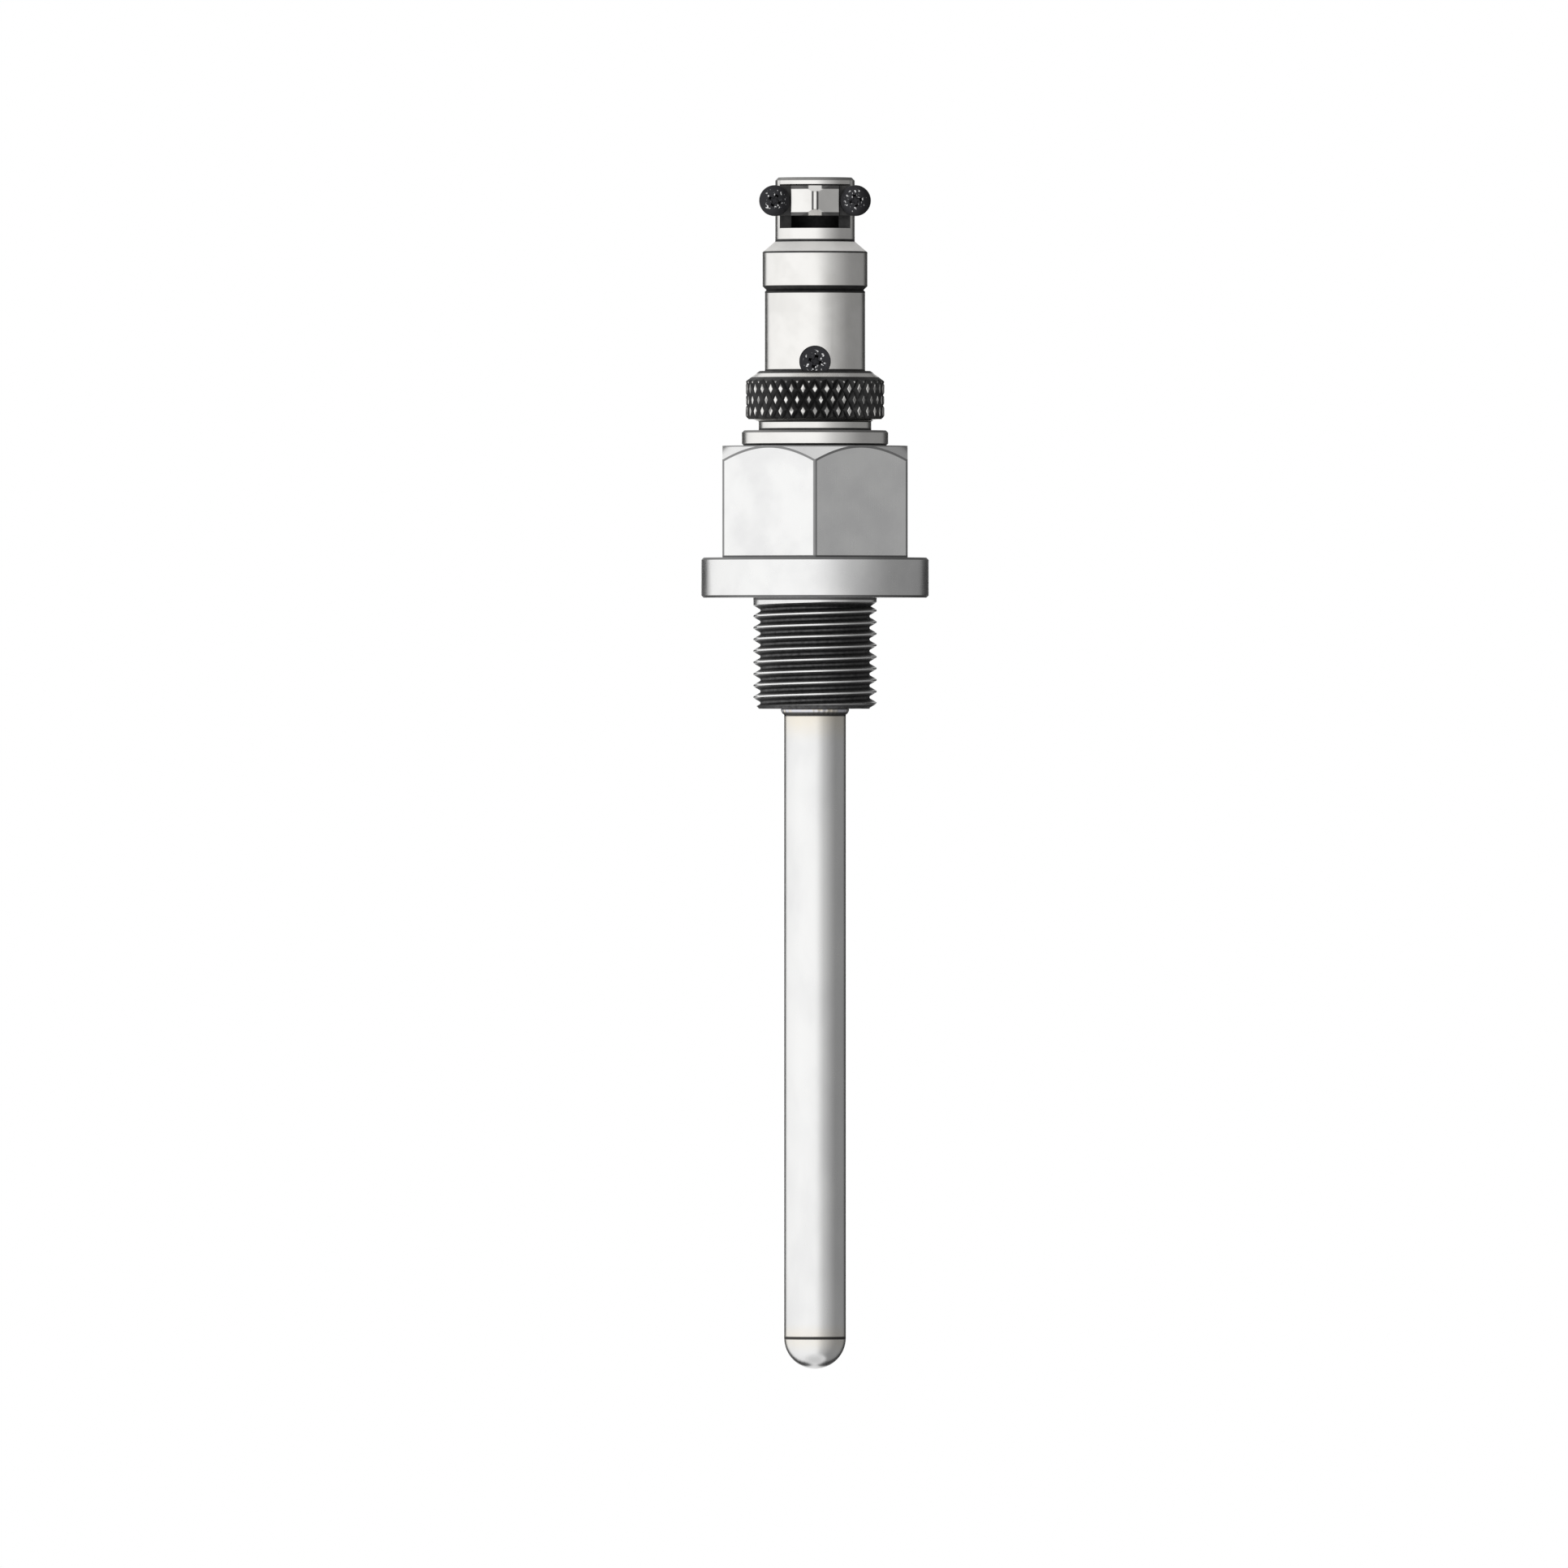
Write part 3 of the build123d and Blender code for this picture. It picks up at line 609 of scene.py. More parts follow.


# %% [markdown]
# ### The knurled ring's painted shade
#
# The ring is what a hand turns. Its grooves are painted dark, as painted shade. The crests are the places
# near the ring's full radius, so the radius alone finds them, and a slow noise leaves some of them dull and
# the rest bright. The chamfer above the knurl has a dark line of painted shade at its foot and one at its
# top.

# %% Knurled ring
RING_RADIUS = solid_box("coupling_ring")[1].x
RING_TOP = solid_box("coupling_ring")[1].z
KNURL_FOOT = 8.175
KNURL_TOP = 28.15
RING_BORE = 7.125


def painted_knurl_shade(skin):
    # Painted shade in the knurl's grooves and on some crests, and two lines of it on the chamfer.
    knurled = skin.radius.over(KNURL_FOOT, 0.025) * skin.height.under(KNURL_TOP)
    unshaded_share = 0.35 + 0.65 * blotches(skin, 1.3).rise(0.42, 0.58)
    unshaded_crests = skin.radius.rise(RING_RADIUS - 0.10, RING_RADIUS - 0.01) * unshaded_share
    foot_line = skin.height.between(KNURL_TOP - 0.15, KNURL_TOP + 0.45, LINE_EDGE)
    top_line = skin.height.over(RING_TOP - 0.315, 0.035)
    lines = (foot_line | top_line) * skin.radius.over(RING_BORE, 0.025)
    return (knurled * (1 - unshaded_crests) | lines) * skin.upright.under(0.98, 0.01)


ring_finish = nickel_plate("knurled_nickel", painted_knurl_shade, chamfers=0.0)

# %% [markdown]
# ### The receptacle's painted shade
#
# The receptacle's thread roots are painted dark, as painted shade. Its disc and its neck have a dark line
# of painted shade in each inner corner.

# %% Receptacle
NECK_TOP = 23.0
RECEPTACLE_RIM = solid_box("receptacle_shell")[1].z
RECEPTACLE_CORNERS = ((19.60, 19.98, 9.6), (21.60, 21.98, 7.4), (22.75, 23.20, 7.4))


def painted_thread_shade(skin):
    # Painted shade in the thread's roots and in the inner corners.
    outside = skin.radius.over(7.05) * (1 - skin.radius.rise(7.4, 7.9))
    return skin.height.between(NECK_TOP, RECEPTACLE_RIM) * outside | painted_corner_shade(skin, RECEPTACLE_CORNERS)


receptacle_finish = nickel_plate("threaded_nickel", painted_thread_shade)

# %% [markdown]
# ### Painted shade on the plug's barrel and back shell
#
# The barrel has a dark line of painted shade at its part line under the collar and one where it leaves the
# ring. The back shell's bore, its milled clamp window, its inner corners and its chamfers are painted dark,
# as painted shade. The cone over the collar would mirror the dark window above it as a smudge. On the real
# shell it is a coarse turned face, so it is made coarse here too and stays pale.

# %% Barrel and back shell
BARREL_CORNERS = ((39.50, 40.10, 6.6), (29.30, 29.62, 6.6))
SHELL_CORNERS = ((39.70, 40.48, 6.9), (44.68, 44.92, 7.0), (46.15, 46.50, 5.2))
BORE_RADIUS = 3.95
THROAT_RADIUS = 4.475
THROAT_TOP = 42.7
WINDOW_FACE = -2.40
WINDOW_FOOT = 47.85
CONE_FOOT = 44.7
CONE_TOP = 46.25


def painted_barrel_shade(skin):
    # Painted shade in the barrel's two corner lines.
    return painted_corner_shade(skin, BARREL_CORNERS)


def painted_shell_shade(skin):
    # Painted shade in the bore, the throat, the clamp window, the inner corners and on the chamfers.
    bore = skin.radius.under(BORE_RADIUS, 0.02)
    throat = skin.radius.under(THROAT_RADIUS, 0.025) * skin.height.under(THROAT_TOP, 0.1)
    window = skin.y.between(WINDOW_FACE - 0.04, WINDOW_FACE + 0.04, 0.01) * skin.height.over(WINDOW_FOOT)
    window = window * skin.upright.under(0.35)
    edges = skin.chamfer * 0.70 * (1 - skin.height.between(CONE_FOOT, CONE_TOP))
    return bore | throat | window | painted_corner_shade(skin, SHELL_CORNERS) | edges


def coarse_cone(skin):
    return skin.height.between(CONE_FOOT + 0.15, CONE_TOP - 0.05) * skin.upright.between(0.6, 0.9)


barrel_finish = nickel_plate("barrel_nickel", painted_barrel_shade)
shell_finish = nickel_plate("shell_nickel", painted_shell_shade, chamfers=0.0, coarse=coarse_cone)

# %% [markdown]
# ### The clamp saddle's painted shade
#
# The saddle is cast. Painted shade darkens the flat tabs under the screw heads, the bore under the arch,
# both edges of its narrow ridge and its upper and lower rim. The faces that stand out keep the bright
# plating.

# %% Clamp saddle's painted shade
TAB_FACE = -4.20
RIDGE_FACE = -6.34
RIDGE_EDGE = (0.18, 0.44)
SADDLE_RIMS = (49.95, 52.95)


def painted_saddle_shade(skin):
    # Painted shade on the tabs, along the ridge's edges, on the rims and in the bore.
    from_middle = abs(skin.x)
    tabs = skin.y.between(TAB_FACE - 0.06, TAB_FACE + 0.06, 0.02)
    ridge = from_middle.between(*RIDGE_EDGE, LINE_EDGE) * skin.y.under(RIDGE_FACE, 0.04)
    rims = (1 - skin.height.between(*SADDLE_RIMS, LINE_EDGE)) * from_middle.rise(0.75, 0.95)
    return tabs | (ridge | rims) * 0.9 | skin.radius.under(BORE_RADIUS, 0.02)


saddle_finish = nickel_plate("saddle_nickel", painted_saddle_shade, chamfers=0.0)

# %% [markdown]
# ### Black screws
#
# The screws are headed cold and blackened in a hot salt bath. Round the recess the oxide has bright specks,
# partly chips down to bare steel and partly painted highlights. The specks need each screw's own axis,
# which lies along Y, so the side and the height of that axis are taken from the frame. The two clamp screws
# lie alike on both sides, so one material serves both.

# %% Black screws
OXIDE = (0.034, 0.034, 0.037, 1.0)
# Colour of the bright specks: bare steel and painted highlight.
CHIP_AND_HIGHLIGHT = (0.82, 0.82, 0.82, 1.0)
HEAD_RADIUS = 2.0
HEAD_FOOT = -4.30
CHIP_HIGHLIGHT_FROM = 0.60
CHIP_HIGHLIGHT_TO = 1.45


def screw_axis(node):
    """Side and height of a screw's axis, from the box of its solid."""
    low, high = solid_box(node)
    return high.x - HEAD_RADIUS, (low.z + high.z) / 2


def black_screw(name, side, height):
    """Black oxide with bright specks round the recess, partly chips of bare steel and partly painted
    highlights.
    """
    skin = Finish(name)
    grain = blotches(skin, 0.12, 3.0)
    across = abs(skin.x) - side
    along = skin.height - height
    from_axis = (across * across + along * along) ** 0.5
    round_recess = from_axis.between(CHIP_HIGHLIGHT_FROM, CHIP_HIGHLIGHT_TO, 0.20) * skin.y.under(HEAD_FOOT)
    # Bright specks round the recess: partly chips of bare steel, partly painted highlights.
    chips_and_highlights = blotches(skin, 0.30).rise(0.60, 0.66) * round_recess
    colour = skin.mix(chips_and_highlights * 0.95, OXIDE, CHIP_AND_HIGHLIGHT)
    return skin.paint(colour, 0.34 + 0.16 * grain, grain, 0.006, metallic=1.0)


SCREW_SIDE, SCREW_HEIGHT = screw_axis("clamp_screw_right")
LOCK_HEIGHT = screw_axis("insert_lock_screw")[1]
clamp_screw_finish = black_screw("clamp_screw_black", SCREW_SIDE, SCREW_HEIGHT)
lock_screw_finish = black_screw("lock_screw_black", 0.0, LOCK_HEIGHT)

# %% [markdown]
# ### Small metal parts inside
#
# Each has its own making: the snap ring is stamped and phosphated, the contacts are turned and plated with
# gold, and the crimp splices and the leads are tinned. They are seen only when the plug is pulled, so each
# is one short recipe.

# %% Small metal finishes
def phosphated_spring():
    skin = Finish("phosphated_spring")
    grain = blotches(skin, 0.08, 4.0)
    colour = skin.mix(grain, (0.055, 0.056, 0.060, 1.0), (0.110, 0.110, 0.115, 1.0))
    return skin.paint(colour, 0.42 + 0.2 * grain, grain, 0.008, metallic=0.8)


def gold_plate():
    skin = Finish("gold_plate")
    stains = blotches(skin, 1.2, 3.0)
    colour = skin.mix(stains.rise(0.4, 0.8), (0.90, 0.66, 0.28, 1.0), (0.80, 0.56, 0.24, 1.0))
    return skin.paint(colour, 0.18 + 0.08 * stains, rings(skin, 0.07), 0.002, metallic=1.0)


def tinned_metal():
    skin = Finish("tinned_metal")
    flow = blotches(skin, 0.7, 3.0)
    colour = skin.mix(flow, (0.62, 0.62, 0.61, 1.0), (0.74, 0.74, 0.73, 1.0))
    return skin.paint(colour, 0.26 + 0.15 * flow, blotches(skin, 0.3, 3.0), 0.010, metallic=1.0)


spring_finish = phosphated_spring()
gold_finish = gold_plate()
tin_finish = tinned_metal()

# %% [markdown]
# ### Plastics, rubber and ceramic
#
# None of these is one flat colour. Moulded insulators are matt with a fine grain and a few glossy rubbed
# spots, rubber has a chalky bloom, cast resin sets with slow waves, and fired alumina and set cement are
# speckled. All of that is one recipe with other numbers, so the recipe is a function and the numbers are a
# table.

# %% Non-metal finishes
# Two colours, then the roughness, the size of the grain and the depth of the relief, both in millimetres.
SPECKLED = {
    "insulator_moulding": ((0.030, 0.030, 0.032, 1), (0.055, 0.055, 0.058, 1), 0.42, 0.10, 0.010),
    "seal_rubber": ((0.020, 0.020, 0.021, 1), (0.045, 0.045, 0.045, 1), 0.62, 0.08, 0.012),
    "white_acetal": ((0.80, 0.80, 0.77, 1), (0.70, 0.70, 0.66, 1), 0.34, 0.20, 0.004),
    "cast_resin": ((0.070, 0.055, 0.040, 1), (0.110, 0.085, 0.060, 1), 0.16, 0.60, 0.030),
    "fired_alumina": ((0.86, 0.84, 0.78, 1), (0.76, 0.73, 0.66, 1), 0.48, 0.12, 0.010),
    "set_cement": ((0.58, 0.56, 0.50, 1), (0.42, 0.40, 0.36, 1), 0.80, 0.15, 0.050),
    "shrunk_sleeve": ((0.025, 0.025, 0.027, 1), (0.050, 0.050, 0.052, 1), 0.30, 0.35, 0.015),
}
GLOSS_SPREAD = 0.12
BLOTCH_TO_GRAIN = 14


def speckled(name, colour, second, roughness, grain_size, depth):
    """A surface with a fine grain, slow blotches of a second colour and uneven gloss."""
    skin = Finish(name)
    grain = blotches(skin, grain_size, 4.0)
    slow = blotches(skin, grain_size * BLOTCH_TO_GRAIN, 3.0)
    mixed = skin.mix(slow.rise(STAIN_FROM, STAIN_TO) * 0.7 + grain * 0.3, colour, second)
    uneven = roughness + GLOSS_SPREAD * slow + GLOSS_SPREAD / 2 * grain
    return skin.paint(mixed, uneven, grain, depth)


non_metals = {name: speckled(name, *recipe) for name, recipe in SPECKLED.items()}

# %% [markdown]
# ### Wire insulation
#
# Insulation is pressed out round the wire through a die, so it is glossy, with faint lines along the wire,
# and dust settles on it. Two leads are red and two are white, as on most probes of this kind.

# %% Wire insulation
def wire_insulation(name, colour, dusty):
    skin = Finish(name)
    die_lines = blotches(skin, 0.15, 2.0, (1, 1, 0.05))
    dust = blotches(skin, 2.5, 3.0)
    return skin.paint(skin.mix(dust * 0.6, colour, dusty), 0.28 + 0.14 * dust, die_lines, 0.004)


red_finish = wire_insulation("red_insulation", (0.50, 0.04, 0.035, 1), (0.36, 0.05, 0.045, 1))
white_finish = wire_insulation("white_insulation", (0.84, 0.84, 0.82, 1), (0.70, 0.69, 0.66, 1))

# %% [markdown]
# ## Modelling helpers
#
# Every new piece starts as a primitive or as a copy of its solid, and is shaped with the same few operators
# that a hand would use. An operator acts on all that is selected, so each helper first clears the
# selection. Merging doubles and turning the faces outwards come after each shaping, because the next
# boolean needs a closed, well-turned skin.

# %% Selecting, cleaning, applying
TINY = 1e-6
SHARP_ANGLE = 32


def alone(obj):
    """Selects one object and makes it the active one."""
    if bpy.context.mode != "OBJECT":
        bpy.ops.object.mode_set(mode="OBJECT")
    bpy.ops.object.select_all(action="DESELECT")
    obj.select_set(True)
    bpy.context.view_layer.objects.active = obj


def edit(obj, action="SELECT"):
    """Opens an object in edit mode with all of it selected, or none."""
    alone(obj)
    bpy.ops.object.mode_set(mode="EDIT")
    bpy.ops.mesh.select_all(action=action)


def clean(obj, sharp_angle=SHARP_ANGLE):
    """Merges doubles, turns the faces outwards and smooths all but the sharp edges."""
    edit(obj)
    bpy.ops.mesh.remove_doubles(threshold=TINY)
    bpy.ops.mesh.normals_make_consistent(inside=False)
    bpy.ops.object.mode_set(mode="OBJECT")
    bpy.ops.object.shade_smooth_by_angle(angle=math.radians(sharp_angle))


def apply(obj, kind, **settings):
    """Adds a modifier with its settings and applies it."""
    alone(obj)
    modifier = obj.modifiers.new(kind.lower(), kind)
    for name, setting in settings.items():
        setattr(modifier, name, setting)
    bpy.ops.object.modifier_apply(modifier=modifier.name)


def dress(obj, finish):
    """Gives an object one material and prints what was made."""
    obj.data.materials.clear()
    obj.data.materials.append(finish)
    print(obj.name, "with", len(obj.data.polygons), "faces in", finish.name)


# %% [markdown]
# ## Turned and coiled pieces
#
# Most pieces here are a flat outline that goes round the axis: once round for a turned piece, or up a helix
# for a thread. The outline is drawn as a hand would draw it, from a plane merged to one point, which is
# then extruded from corner to corner and closed. Spin turns it into a lathe piece. The Screw modifier turns
# it into a coil, whose two open ends are filled, because the boolean needs a closed tool.

# %% Outline, lathe and coil
def outline(name, corners):
    """A closed chain of edges in the XZ plane, through corners given as (radius, height)."""
    bpy.ops.object.select_all(action="DESELECT")
    x, z = corners[0]
    bpy.ops.mesh.primitive_plane_add(size=MM, location=(x * MM, 0, z * MM))
    obj = bpy.context.active_object
    obj.name = name
    bpy.ops.object.transform_apply(location=True, rotation=False, scale=False)
    edit(obj)
    bpy.ops.mesh.merge(type="CENTER")
    for next_x, next_z in corners[1:] + corners[:1]:
        move = ((next_x - x) * MM, 0, (next_z - z) * MM)
        bpy.ops.mesh.extrude_vertices_move(TRANSFORM_OT_translate={"value": move})
        x, z = next_x, next_z
    bpy.ops.mesh.select_all(action="SELECT")
    bpy.ops.mesh.remove_doubles(threshold=TINY)
    return obj


def lathe(name, corners, steps=ROUND_STEPS):
    """A turned piece: the outline is spun once round the axis."""
    obj = outline(name, corners)
    bpy.ops.mesh.select_all(action="SELECT")
    bpy.ops.mesh.spin(steps=steps, angle=math.tau, center=(0, 0, 0), axis=(0, 0, 1))
    clean(obj)
    return obj


def coil(name, corners, pitch, low, high, steps=72):
    """A closed outline, swept up a right-hand helix from low to high and capped."""
    obj = outline(name, [(radius, low + height) for radius, height in corners])
    bpy.ops.object.mode_set(mode="OBJECT")
    turns = (high - low) / pitch
    count = round(turns * steps)
    climb = {"angle": turns * math.tau, "screw_offset": (high - low) * MM}
    apply(obj, "SCREW", axis="Z", steps=count, render_steps=count, **climb)
    edit(obj)
    bpy.ops.mesh.fill_holes(sides=0)
    clean(obj)
    return obj


# %% [markdown]
# ## Copies and booleans
#
# A CAD solid must stay as it is, so a finer piece is made from a copy of it. The copy comes as loose
# triangles with stored normals. These are cleared and its points are merged, so that it is one closed skin.
# A boolean then takes a tool out of it or joins one to it, as a cutter does, and the tool is thrown away.

# %% Copies and booleans
def copy_of(node, name):
    """A merged copy of a CAD solid, which can be cut and still leaves the solid itself as it was."""
    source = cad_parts[node]
    obj = bpy.data.objects.new(name, source.data.copy())
    bpy.context.scene.collection.objects.link(obj)
    alone(obj)
    if obj.data.has_custom_normals:
        bpy.ops.mesh.customdata_custom_splitnormals_clear()
    clean(obj)
    return obj


def combine(obj, tool, operation):
    apply(obj, "BOOLEAN", object=tool, operation=operation, solver="EXACT")
    bpy.data.objects.remove(tool)


def cut(obj, tool):
    combine(obj, tool, "DIFFERENCE")


# %% [markdown]
# ## The shape of a thread
#
# A metric thread is a groove with 60 degrees between its sides. Its crests and roots are cut off flat, so
# that they are neither sharp nor weak. One function gives that outline for all three threads of the probe,
# as an upper half that is mirrored. It reaches a little outside the bar, so that the cut leaves no skin
# behind.

# %% Groove outline
OVERCUT = 0.05
SIDE_SLOPE = math.tan(math.radians(30))


def mirrored(half):
    """A whole outline from its upper half."""
    return half + [(radius, -height) for radius, height in reversed(half)]


def groove_outline(major_radius, pitch, depth, flat):
    """Groove of a thread, about height 0. flat is the width of the crest that stays between two turns."""
    half_width = (pitch - flat) / 2
    bottom = major_radius - depth
    outer = (major_radius + OVERCUT, half_width + OVERCUT * SIDE_SLOPE)
    inner = (bottom + OVERCUT, half_width - (depth - OVERCUT) * SIDE_SLOPE)
    return mirrored([outer, inner, (bottom, flat / 4)])


process_groove = groove_outline(8.0, 1.5, 0.92, 0.19)
print("the process thread's groove is", round(2 * process_groove[0][1], 2), "mm wide at its mouth")

# %% [markdown]
# ## The process thread
#
# The CAD model has a plain 16 mm cylinder where the fitting has its thread. A die cuts the real one and
# moves up 1.5 mm for each turn, so the same is done here: one groove, swept up a helix, is taken out of a
# copy of the fitting. The die's short cone leaves the last turn shallower and shallower, which a cone taken
# off the tool repeats. The hexagon's flats only just touch the rim of its top, and slivers of faces there
# would tilt the shading of the whole top. Normals weighted by area keep it flat.

# %% Process thread
PROCESS_PITCH = 1.5
THREAD_END = -14.4
FADE_HEIGHT = 0.6
FADE_FOOT_RADIUS = 6.6
FADE_TOP_RADIUS = 8.3
FADE_CAP = 1.0

fade_foot = THREAD_TOP - 2 * FADE_HEIGHT
fade_cap = THREAD_TOP + FADE_CAP
FADE_CONE = [
    (0, fade_foot),
    (FADE_FOOT_RADIUS, fade_foot),
    (FADE_TOP_RADIUS, THREAD_TOP),
    (FADE_TOP_RADIUS, fade_cap),
    (0, fade_cap),
]
tool = coil("thread_tool", process_groove, PROCESS_PITCH, THREAD_END - PROCESS_PITCH, THREAD_TOP)
cut(tool, lathe("fade_cone", FADE_CONE))
fitting_piece = copy_of("fitting_body", "threaded_fitting")
cut(fitting_piece, tool)
clean(fitting_piece)
apply(fitting_piece, "WEIGHTED_NORMAL", keep_sharp=True)
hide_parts("fitting_body")
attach(fitting_piece, "probe")
dress(fitting_piece, fitting_finish)

# %% [markdown]
# ## The receptacle's thread
#
# The ring climbs 1 mm for each turn, so the receptacle and the ring share a fine thread of that pitch. The
# male half is cut into the receptacle like the process thread. It starts in the neck below and runs out
# past the rim above, so it needs no fade.

# %% Receptacle thread
COUPLING_PITCH = 1.0
GROOVE_START = 22.2
GROOVE_END = 27.7

coupling_groove = groove_outline(7.95, COUPLING_PITCH, 0.61, 0.13)
shell_piece = copy_of("receptacle_shell", "threaded_receptacle")
cut(shell_piece, coil("coupling_tool", coupling_groove, COUPLING_PITCH, GROOVE_START, GROOVE_END))
clean(shell_piece)
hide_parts("receptacle_shell")
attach(shell_piece, "probe")
dress(shell_piece, receptacle_finish)

# %% [markdown]
# ## The ring's thread
#
# The female half is made the other way round, as one ridge that is joined to the ring's bore. A groove cut
# into the bore would do as well, but the bore in the CAD model is as wide as the thread's roots, so there
# is nothing to cut. The two threads share their pitch, so the ridge keeps its place beside the groove as
# the ring turns and climbs. That place is not yet right: the ridge starts one and a half turns above the
# groove, so it runs through the receptacle's crests, up to 0.44 mm deep. Starting it whole turns above the
# groove, at 2.0 and ending at 5.0, would seat it.

# %% Ring thread
RIDGE = mirrored([(8.12, 0.46), (7.55, 0.14), (7.51, 0.09)])
RIDGE_START = GROOVE_START + 1.5
RIDGE_END = GROOVE_START + 4.5

ring_piece = copy_of("coupling_ring", "knurled_ring")
combine(ring_piece, coil("coupling_ridge", RIDGE, COUPLING_PITCH, RIDGE_START, RIDGE_END), "UNION")
clean(ring_piece)
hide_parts("coupling_ring")
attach(ring_piece, "ring")
dress(ring_piece, ring_finish)

# %% [markdown]
# ## The weld
#
# The sheath is welded to the fitting under its thread. A welder adds the bead in small overlapping steps,
# which stay visible as ripples. The bead is turned first, and its points at every fourth step are then
# selected by their angle and drawn in a little. A displacement by noise would be quicker, but welds ripple
# evenly.

# %% Weld bead
WELD_STEPS = 160
RIPPLE_EVERY = 4
RIPPLE_SIZE = 0.985
BEAD_INNER_RADIUS = 4.0
WELD_SHARP_ANGLE = 50
BEAD = [
    (3.80, -14.40),
    (4.38, -14.40),
    (4.43, -14.52),
    (4.38, -14.74),
    (4.25, -14.97),
    (4.05, -15.15),
    (3.97, -15.20),
    (3.80, -15.20),
]
weld = lathe("weld_bead", BEAD, WELD_STEPS)
edit(weld, "DESELECT")
mesh = bmesh.from_edit_mesh(weld.data)
for vertex in mesh.verts:
    step = round(math.atan2(vertex.co.y, vertex.co.x) / math.tau * WELD_STEPS)
    outside = math.hypot(vertex.co.x, vertex.co.y) > BEAD_INNER_RADIUS * MM
    vertex.select = outside and step % RIPPLE_EVERY == 0
bmesh.update_edit_mesh(weld.data)
bpy.ops.transform.resize(value=(RIPPLE_SIZE, RIPPLE_SIZE, 1), center_override=(0, 0, 0))
bpy.ops.object.mode_set(mode="OBJECT")
clean(weld, WELD_SHARP_ANGLE)
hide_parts("sheath_weld")
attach(weld, "probe")
dress(weld, weld_finish)

# %% [markdown]
# ## The cross recess
#
# A cross recess is pressed in with a punch of four wings, which narrow towards the tip, so that the driver
# centres itself. Two crossed blades make the same hole. A blade is a cube whose lower face is selected by
# its normal and drawn in.

# %% Blade of the recess
BLADE_LENGTH = 2.3
BLADE_WIDTH = 0.58
RECESS_DEPTH = 0.75
BLADE_ABOVE = 0.6
TIP_LENGTH_SHARE = 0.45
TIP_WIDTH_SHARE = 0.62


def blade(face_height):
    """Two opposite wings of the recess, for a head whose face is at that height."""
    bpy.ops.object.select_all(action="DESELECT")
    middle = face_height + (BLADE_ABOVE - RECESS_DEPTH) / 2
    bpy.ops.mesh.primitive_cube_add(size=MM, location=(0, 0, middle * MM))
    obj = bpy.context.active_object
    obj.scale = (BLADE_LENGTH, BLADE_WIDTH, RECESS_DEPTH + BLADE_ABOVE)
    bpy.ops.object.transform_apply(location=True, rotation=False, scale=True)
    edit(obj, "DESELECT")
    mesh = bmesh.from_edit_mesh(obj.data)
    for face in mesh.faces:
        face.select = face.normal.z < -0.9
    bmesh.update_edit_mesh(obj.data)
    bpy.ops.transform.resize(value=(TIP_LENGTH_SHARE, TIP_WIDTH_SHARE, 1))
    bpy.ops.object.mode_set(mode="OBJECT")
    return obj


# %% [markdown]
# ## A screw
#
# A screw is a turned piece, so its half section is spun and its edges are softened with a bevel. The recess
# is cut with the two blades and, where the shank can be seen, a fine groove is cut up the shank. It is made
# standing up, where its sizes are easy to read, and then laid down to face -Y and moved to its place.
# Location and turn are applied to the mesh at the end, so that the object itself sits at the origin.

# %% Screw
SCREW_PITCH = 0.4
SHANK_BOTTOM = -5.1
SCREW_STEPS = 64
HEAD_BEVEL = 0.05


def screw(name, half_section, face_height, turn, spot, groove=None):
    """A screw with its seat at height 0, turned round its axis, laid down and put at its spot."""
    obj = lathe(name, half_section, SCREW_STEPS)
    edges = {"limit_method": "ANGLE", "angle_limit": math.radians(40)}
    apply(obj, "BEVEL", width=HEAD_BEVEL * MM, segments=2, **edges)
    for quarter in (0, 1):
        wings = blade(face_height)
        wings.rotation_euler.z = quarter * math.pi / 2
        cut(obj, wings)
    if groove:
        cut(obj, coil(name + "_groove", groove, SCREW_PITCH, SHANK_BOTTOM - 0.2, -0.4, steps=24))
    obj.rotation_euler = (math.pi / 2, turn, 0)
    obj.location = Vector(spot) * MM
    alone(obj)
    bpy.ops.object.transform_apply(location=True, rotation=True, scale=True)
    clean(obj)
    return obj


# %% [markdown]
# ## The clamp screws
#
# The two screws that hold the clamp saddle have round pan heads, whose tops are part of a ball. The points
# of that arc are worked out from its radius. Nobody stops two screws at the same angle, so each has its own
# turn. Their seats lie on the saddle's tabs.

# %% Clamp screws
SHANK_RADIUS = 1.0
HEAD_HEIGHT = 1.4
CROWN_RADIUS = 2.8
CROWN_STEPS = 8
SEAT = -4.2


def crown_arc(radius, top, ball, steps):
    """Points of a head's round top, from its rim to its middle."""
    rim_angle = math.asin(radius / ball)
    angles = [rim_angle * (1 - step / steps) for step in range(steps + 1)]
    return [(ball * math.sin(angle), top - ball + ball * math.cos(angle)) for angle in angles]


shank = [(0, SHANK_BOTTOM), (SHANK_RADIUS, SHANK_BOTTOM), (SHANK_RADIUS, 0), (HEAD_RADIUS, 0)]
pan_head = shank + crown_arc(HEAD_RADIUS, HEAD_HEIGHT, CROWN_RADIUS, CROWN_STEPS)
screw_groove = groove_outline(SHANK_RADIUS, SCREW_PITCH, 0.24, 0.08)
for name, side, turn in (("clamp_screw_left", -1, 0.45), ("clamp_screw_right", 1, -0.20)):
    spot = (side * SCREW_SIDE, SEAT, SCREW_HEIGHT)
    piece = screw(name + "_detail", pan_head, HEAD_HEIGHT, turn, spot, screw_groove)
    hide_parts(name)
    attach(piece, "plug")
    dress(piece, clamp_screw_finish)

# %% [markdown]
# ## The insert lock screw
#
# The third screw holds the insert in the barrel. It is countersunk, so its face lies flush with the
# barrel's wall and the ring can slide over it. Its shank is hidden in the barrel and stays plain.

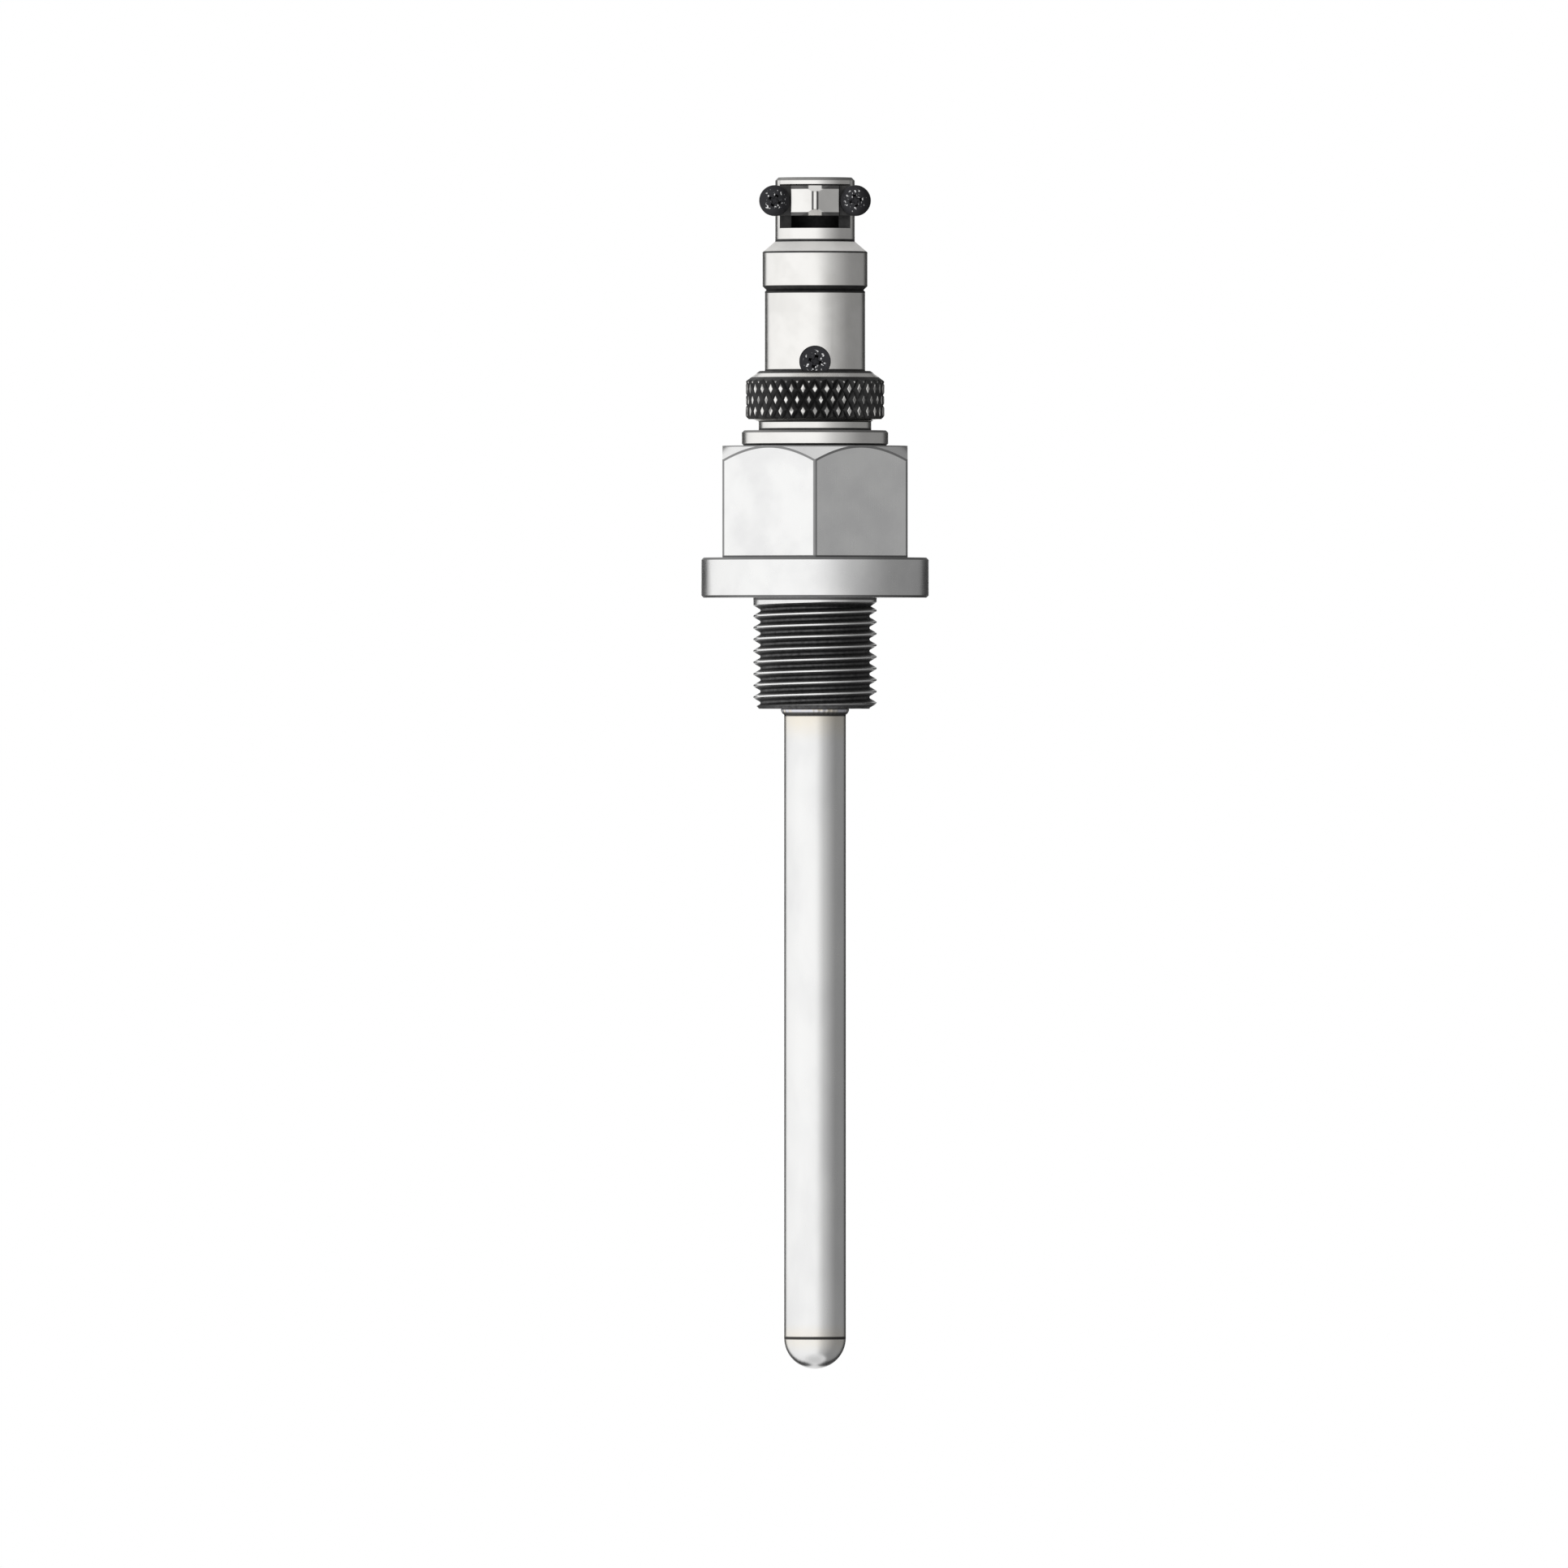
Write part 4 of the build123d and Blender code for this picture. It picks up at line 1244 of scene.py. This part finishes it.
# %% Insert lock screw
LOCK_FACE = -6.185
LOCK_BOTTOM = -2.83
COUNTERSINK = -1.0

flush_head = [
    (0, LOCK_BOTTOM),
    (SHANK_RADIUS, LOCK_BOTTOM),
    (SHANK_RADIUS, COUNTERSINK),
    (HEAD_RADIUS, 0),
    (0, 0),
]
piece = screw("lock_screw_detail", flush_head, 0, 0.3, (0, LOCK_FACE, LOCK_HEIGHT))
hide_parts("insert_lock_screw")
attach(piece, "plug")
dress(piece, lock_screw_finish)

# %% [markdown]
# ## The clamp saddle
#
# The saddle is cast, so it has no sharp edge anywhere. A copy of it gets a small bevel on every edge. The
# copy's triangles are first joined to whole faces, because a bevel would otherwise follow the lines between
# them, and normals weighted by area then keep the large faces flat beside their soft edges.

# %% Clamp saddle
SADDLE_BEVEL = 0.09

saddle = copy_of("clamp_saddle", "soft_edged_saddle")
edit(saddle)
bpy.ops.mesh.dissolve_limited(angle_limit=math.radians(1))
bpy.ops.object.mode_set(mode="OBJECT")
edges = {"limit_method": "ANGLE", "angle_limit": math.radians(25)}
apply(saddle, "BEVEL", width=SADDLE_BEVEL * MM, segments=3, **edges)
clean(saddle)
apply(saddle, "WEIGHTED_NORMAL", keep_sharp=True)
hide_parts("clamp_saddle")
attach(saddle, "plug")
dress(saddle, saddle_finish)

# %% [markdown]
# ## Which solid wears which finish
#
# The solids that were not remodelled keep their own mesh and only need a finish. Many of them come in
# numbered sets, such as the four contact pins, so a finish is looked up by the start of a solid's name, and
# the longest start that fits wins. The solids that stand behind a finer piece are dressed too, so that all
# of them are finished.

# %% Table of finishes
FINISHES = {
    "fitting_body": fitting_finish,
    "sheath_tube": sheath_finish,
    "sheath_tip": sheath_finish,
    "sheath_weld": weld_finish,
    "receptacle_shell": receptacle_finish,
    "plug_shell": barrel_finish,
    "back_shell": shell_finish,
    "clamp_saddle": saddle_finish,
    "coupling_ring": ring_finish,
    "insert_lock_screw": lock_screw_finish,
    "clamp_screw": clamp_screw_finish,
    "insert_circlip": spring_finish,
    "receptacle_seal": non_metals["seal_rubber"],
    "plug_gasket": non_metals["seal_rubber"],
    "ring_slip_washer": non_metals["white_acetal"],
    "receptacle_insert": non_metals["insulator_moulding"],
    "plug_insert": non_metals["insulator_moulding"],
    "contact_pin": gold_finish,
    "socket_contact": gold_finish,
    "solder_sleeve": non_metals["shrunk_sleeve"],
    "epoxy_seal": non_metals["cast_resin"],
    "insulator_bead": non_metals["fired_alumina"],
    "rtd_element": non_metals["fired_alumina"],
    "tip_filler": non_metals["set_cement"],
    "lead_splice": tin_finish,
    "element_lead": tin_finish,
    "lead_wire": red_finish,
    "lead_wire_2": white_finish,
    "lead_wire_3": white_finish,
}

for name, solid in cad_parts.items():
    starts = [start for start in FINISHES if name.startswith(start)]
    dress(solid, FINISHES[max(starts, key=len)])
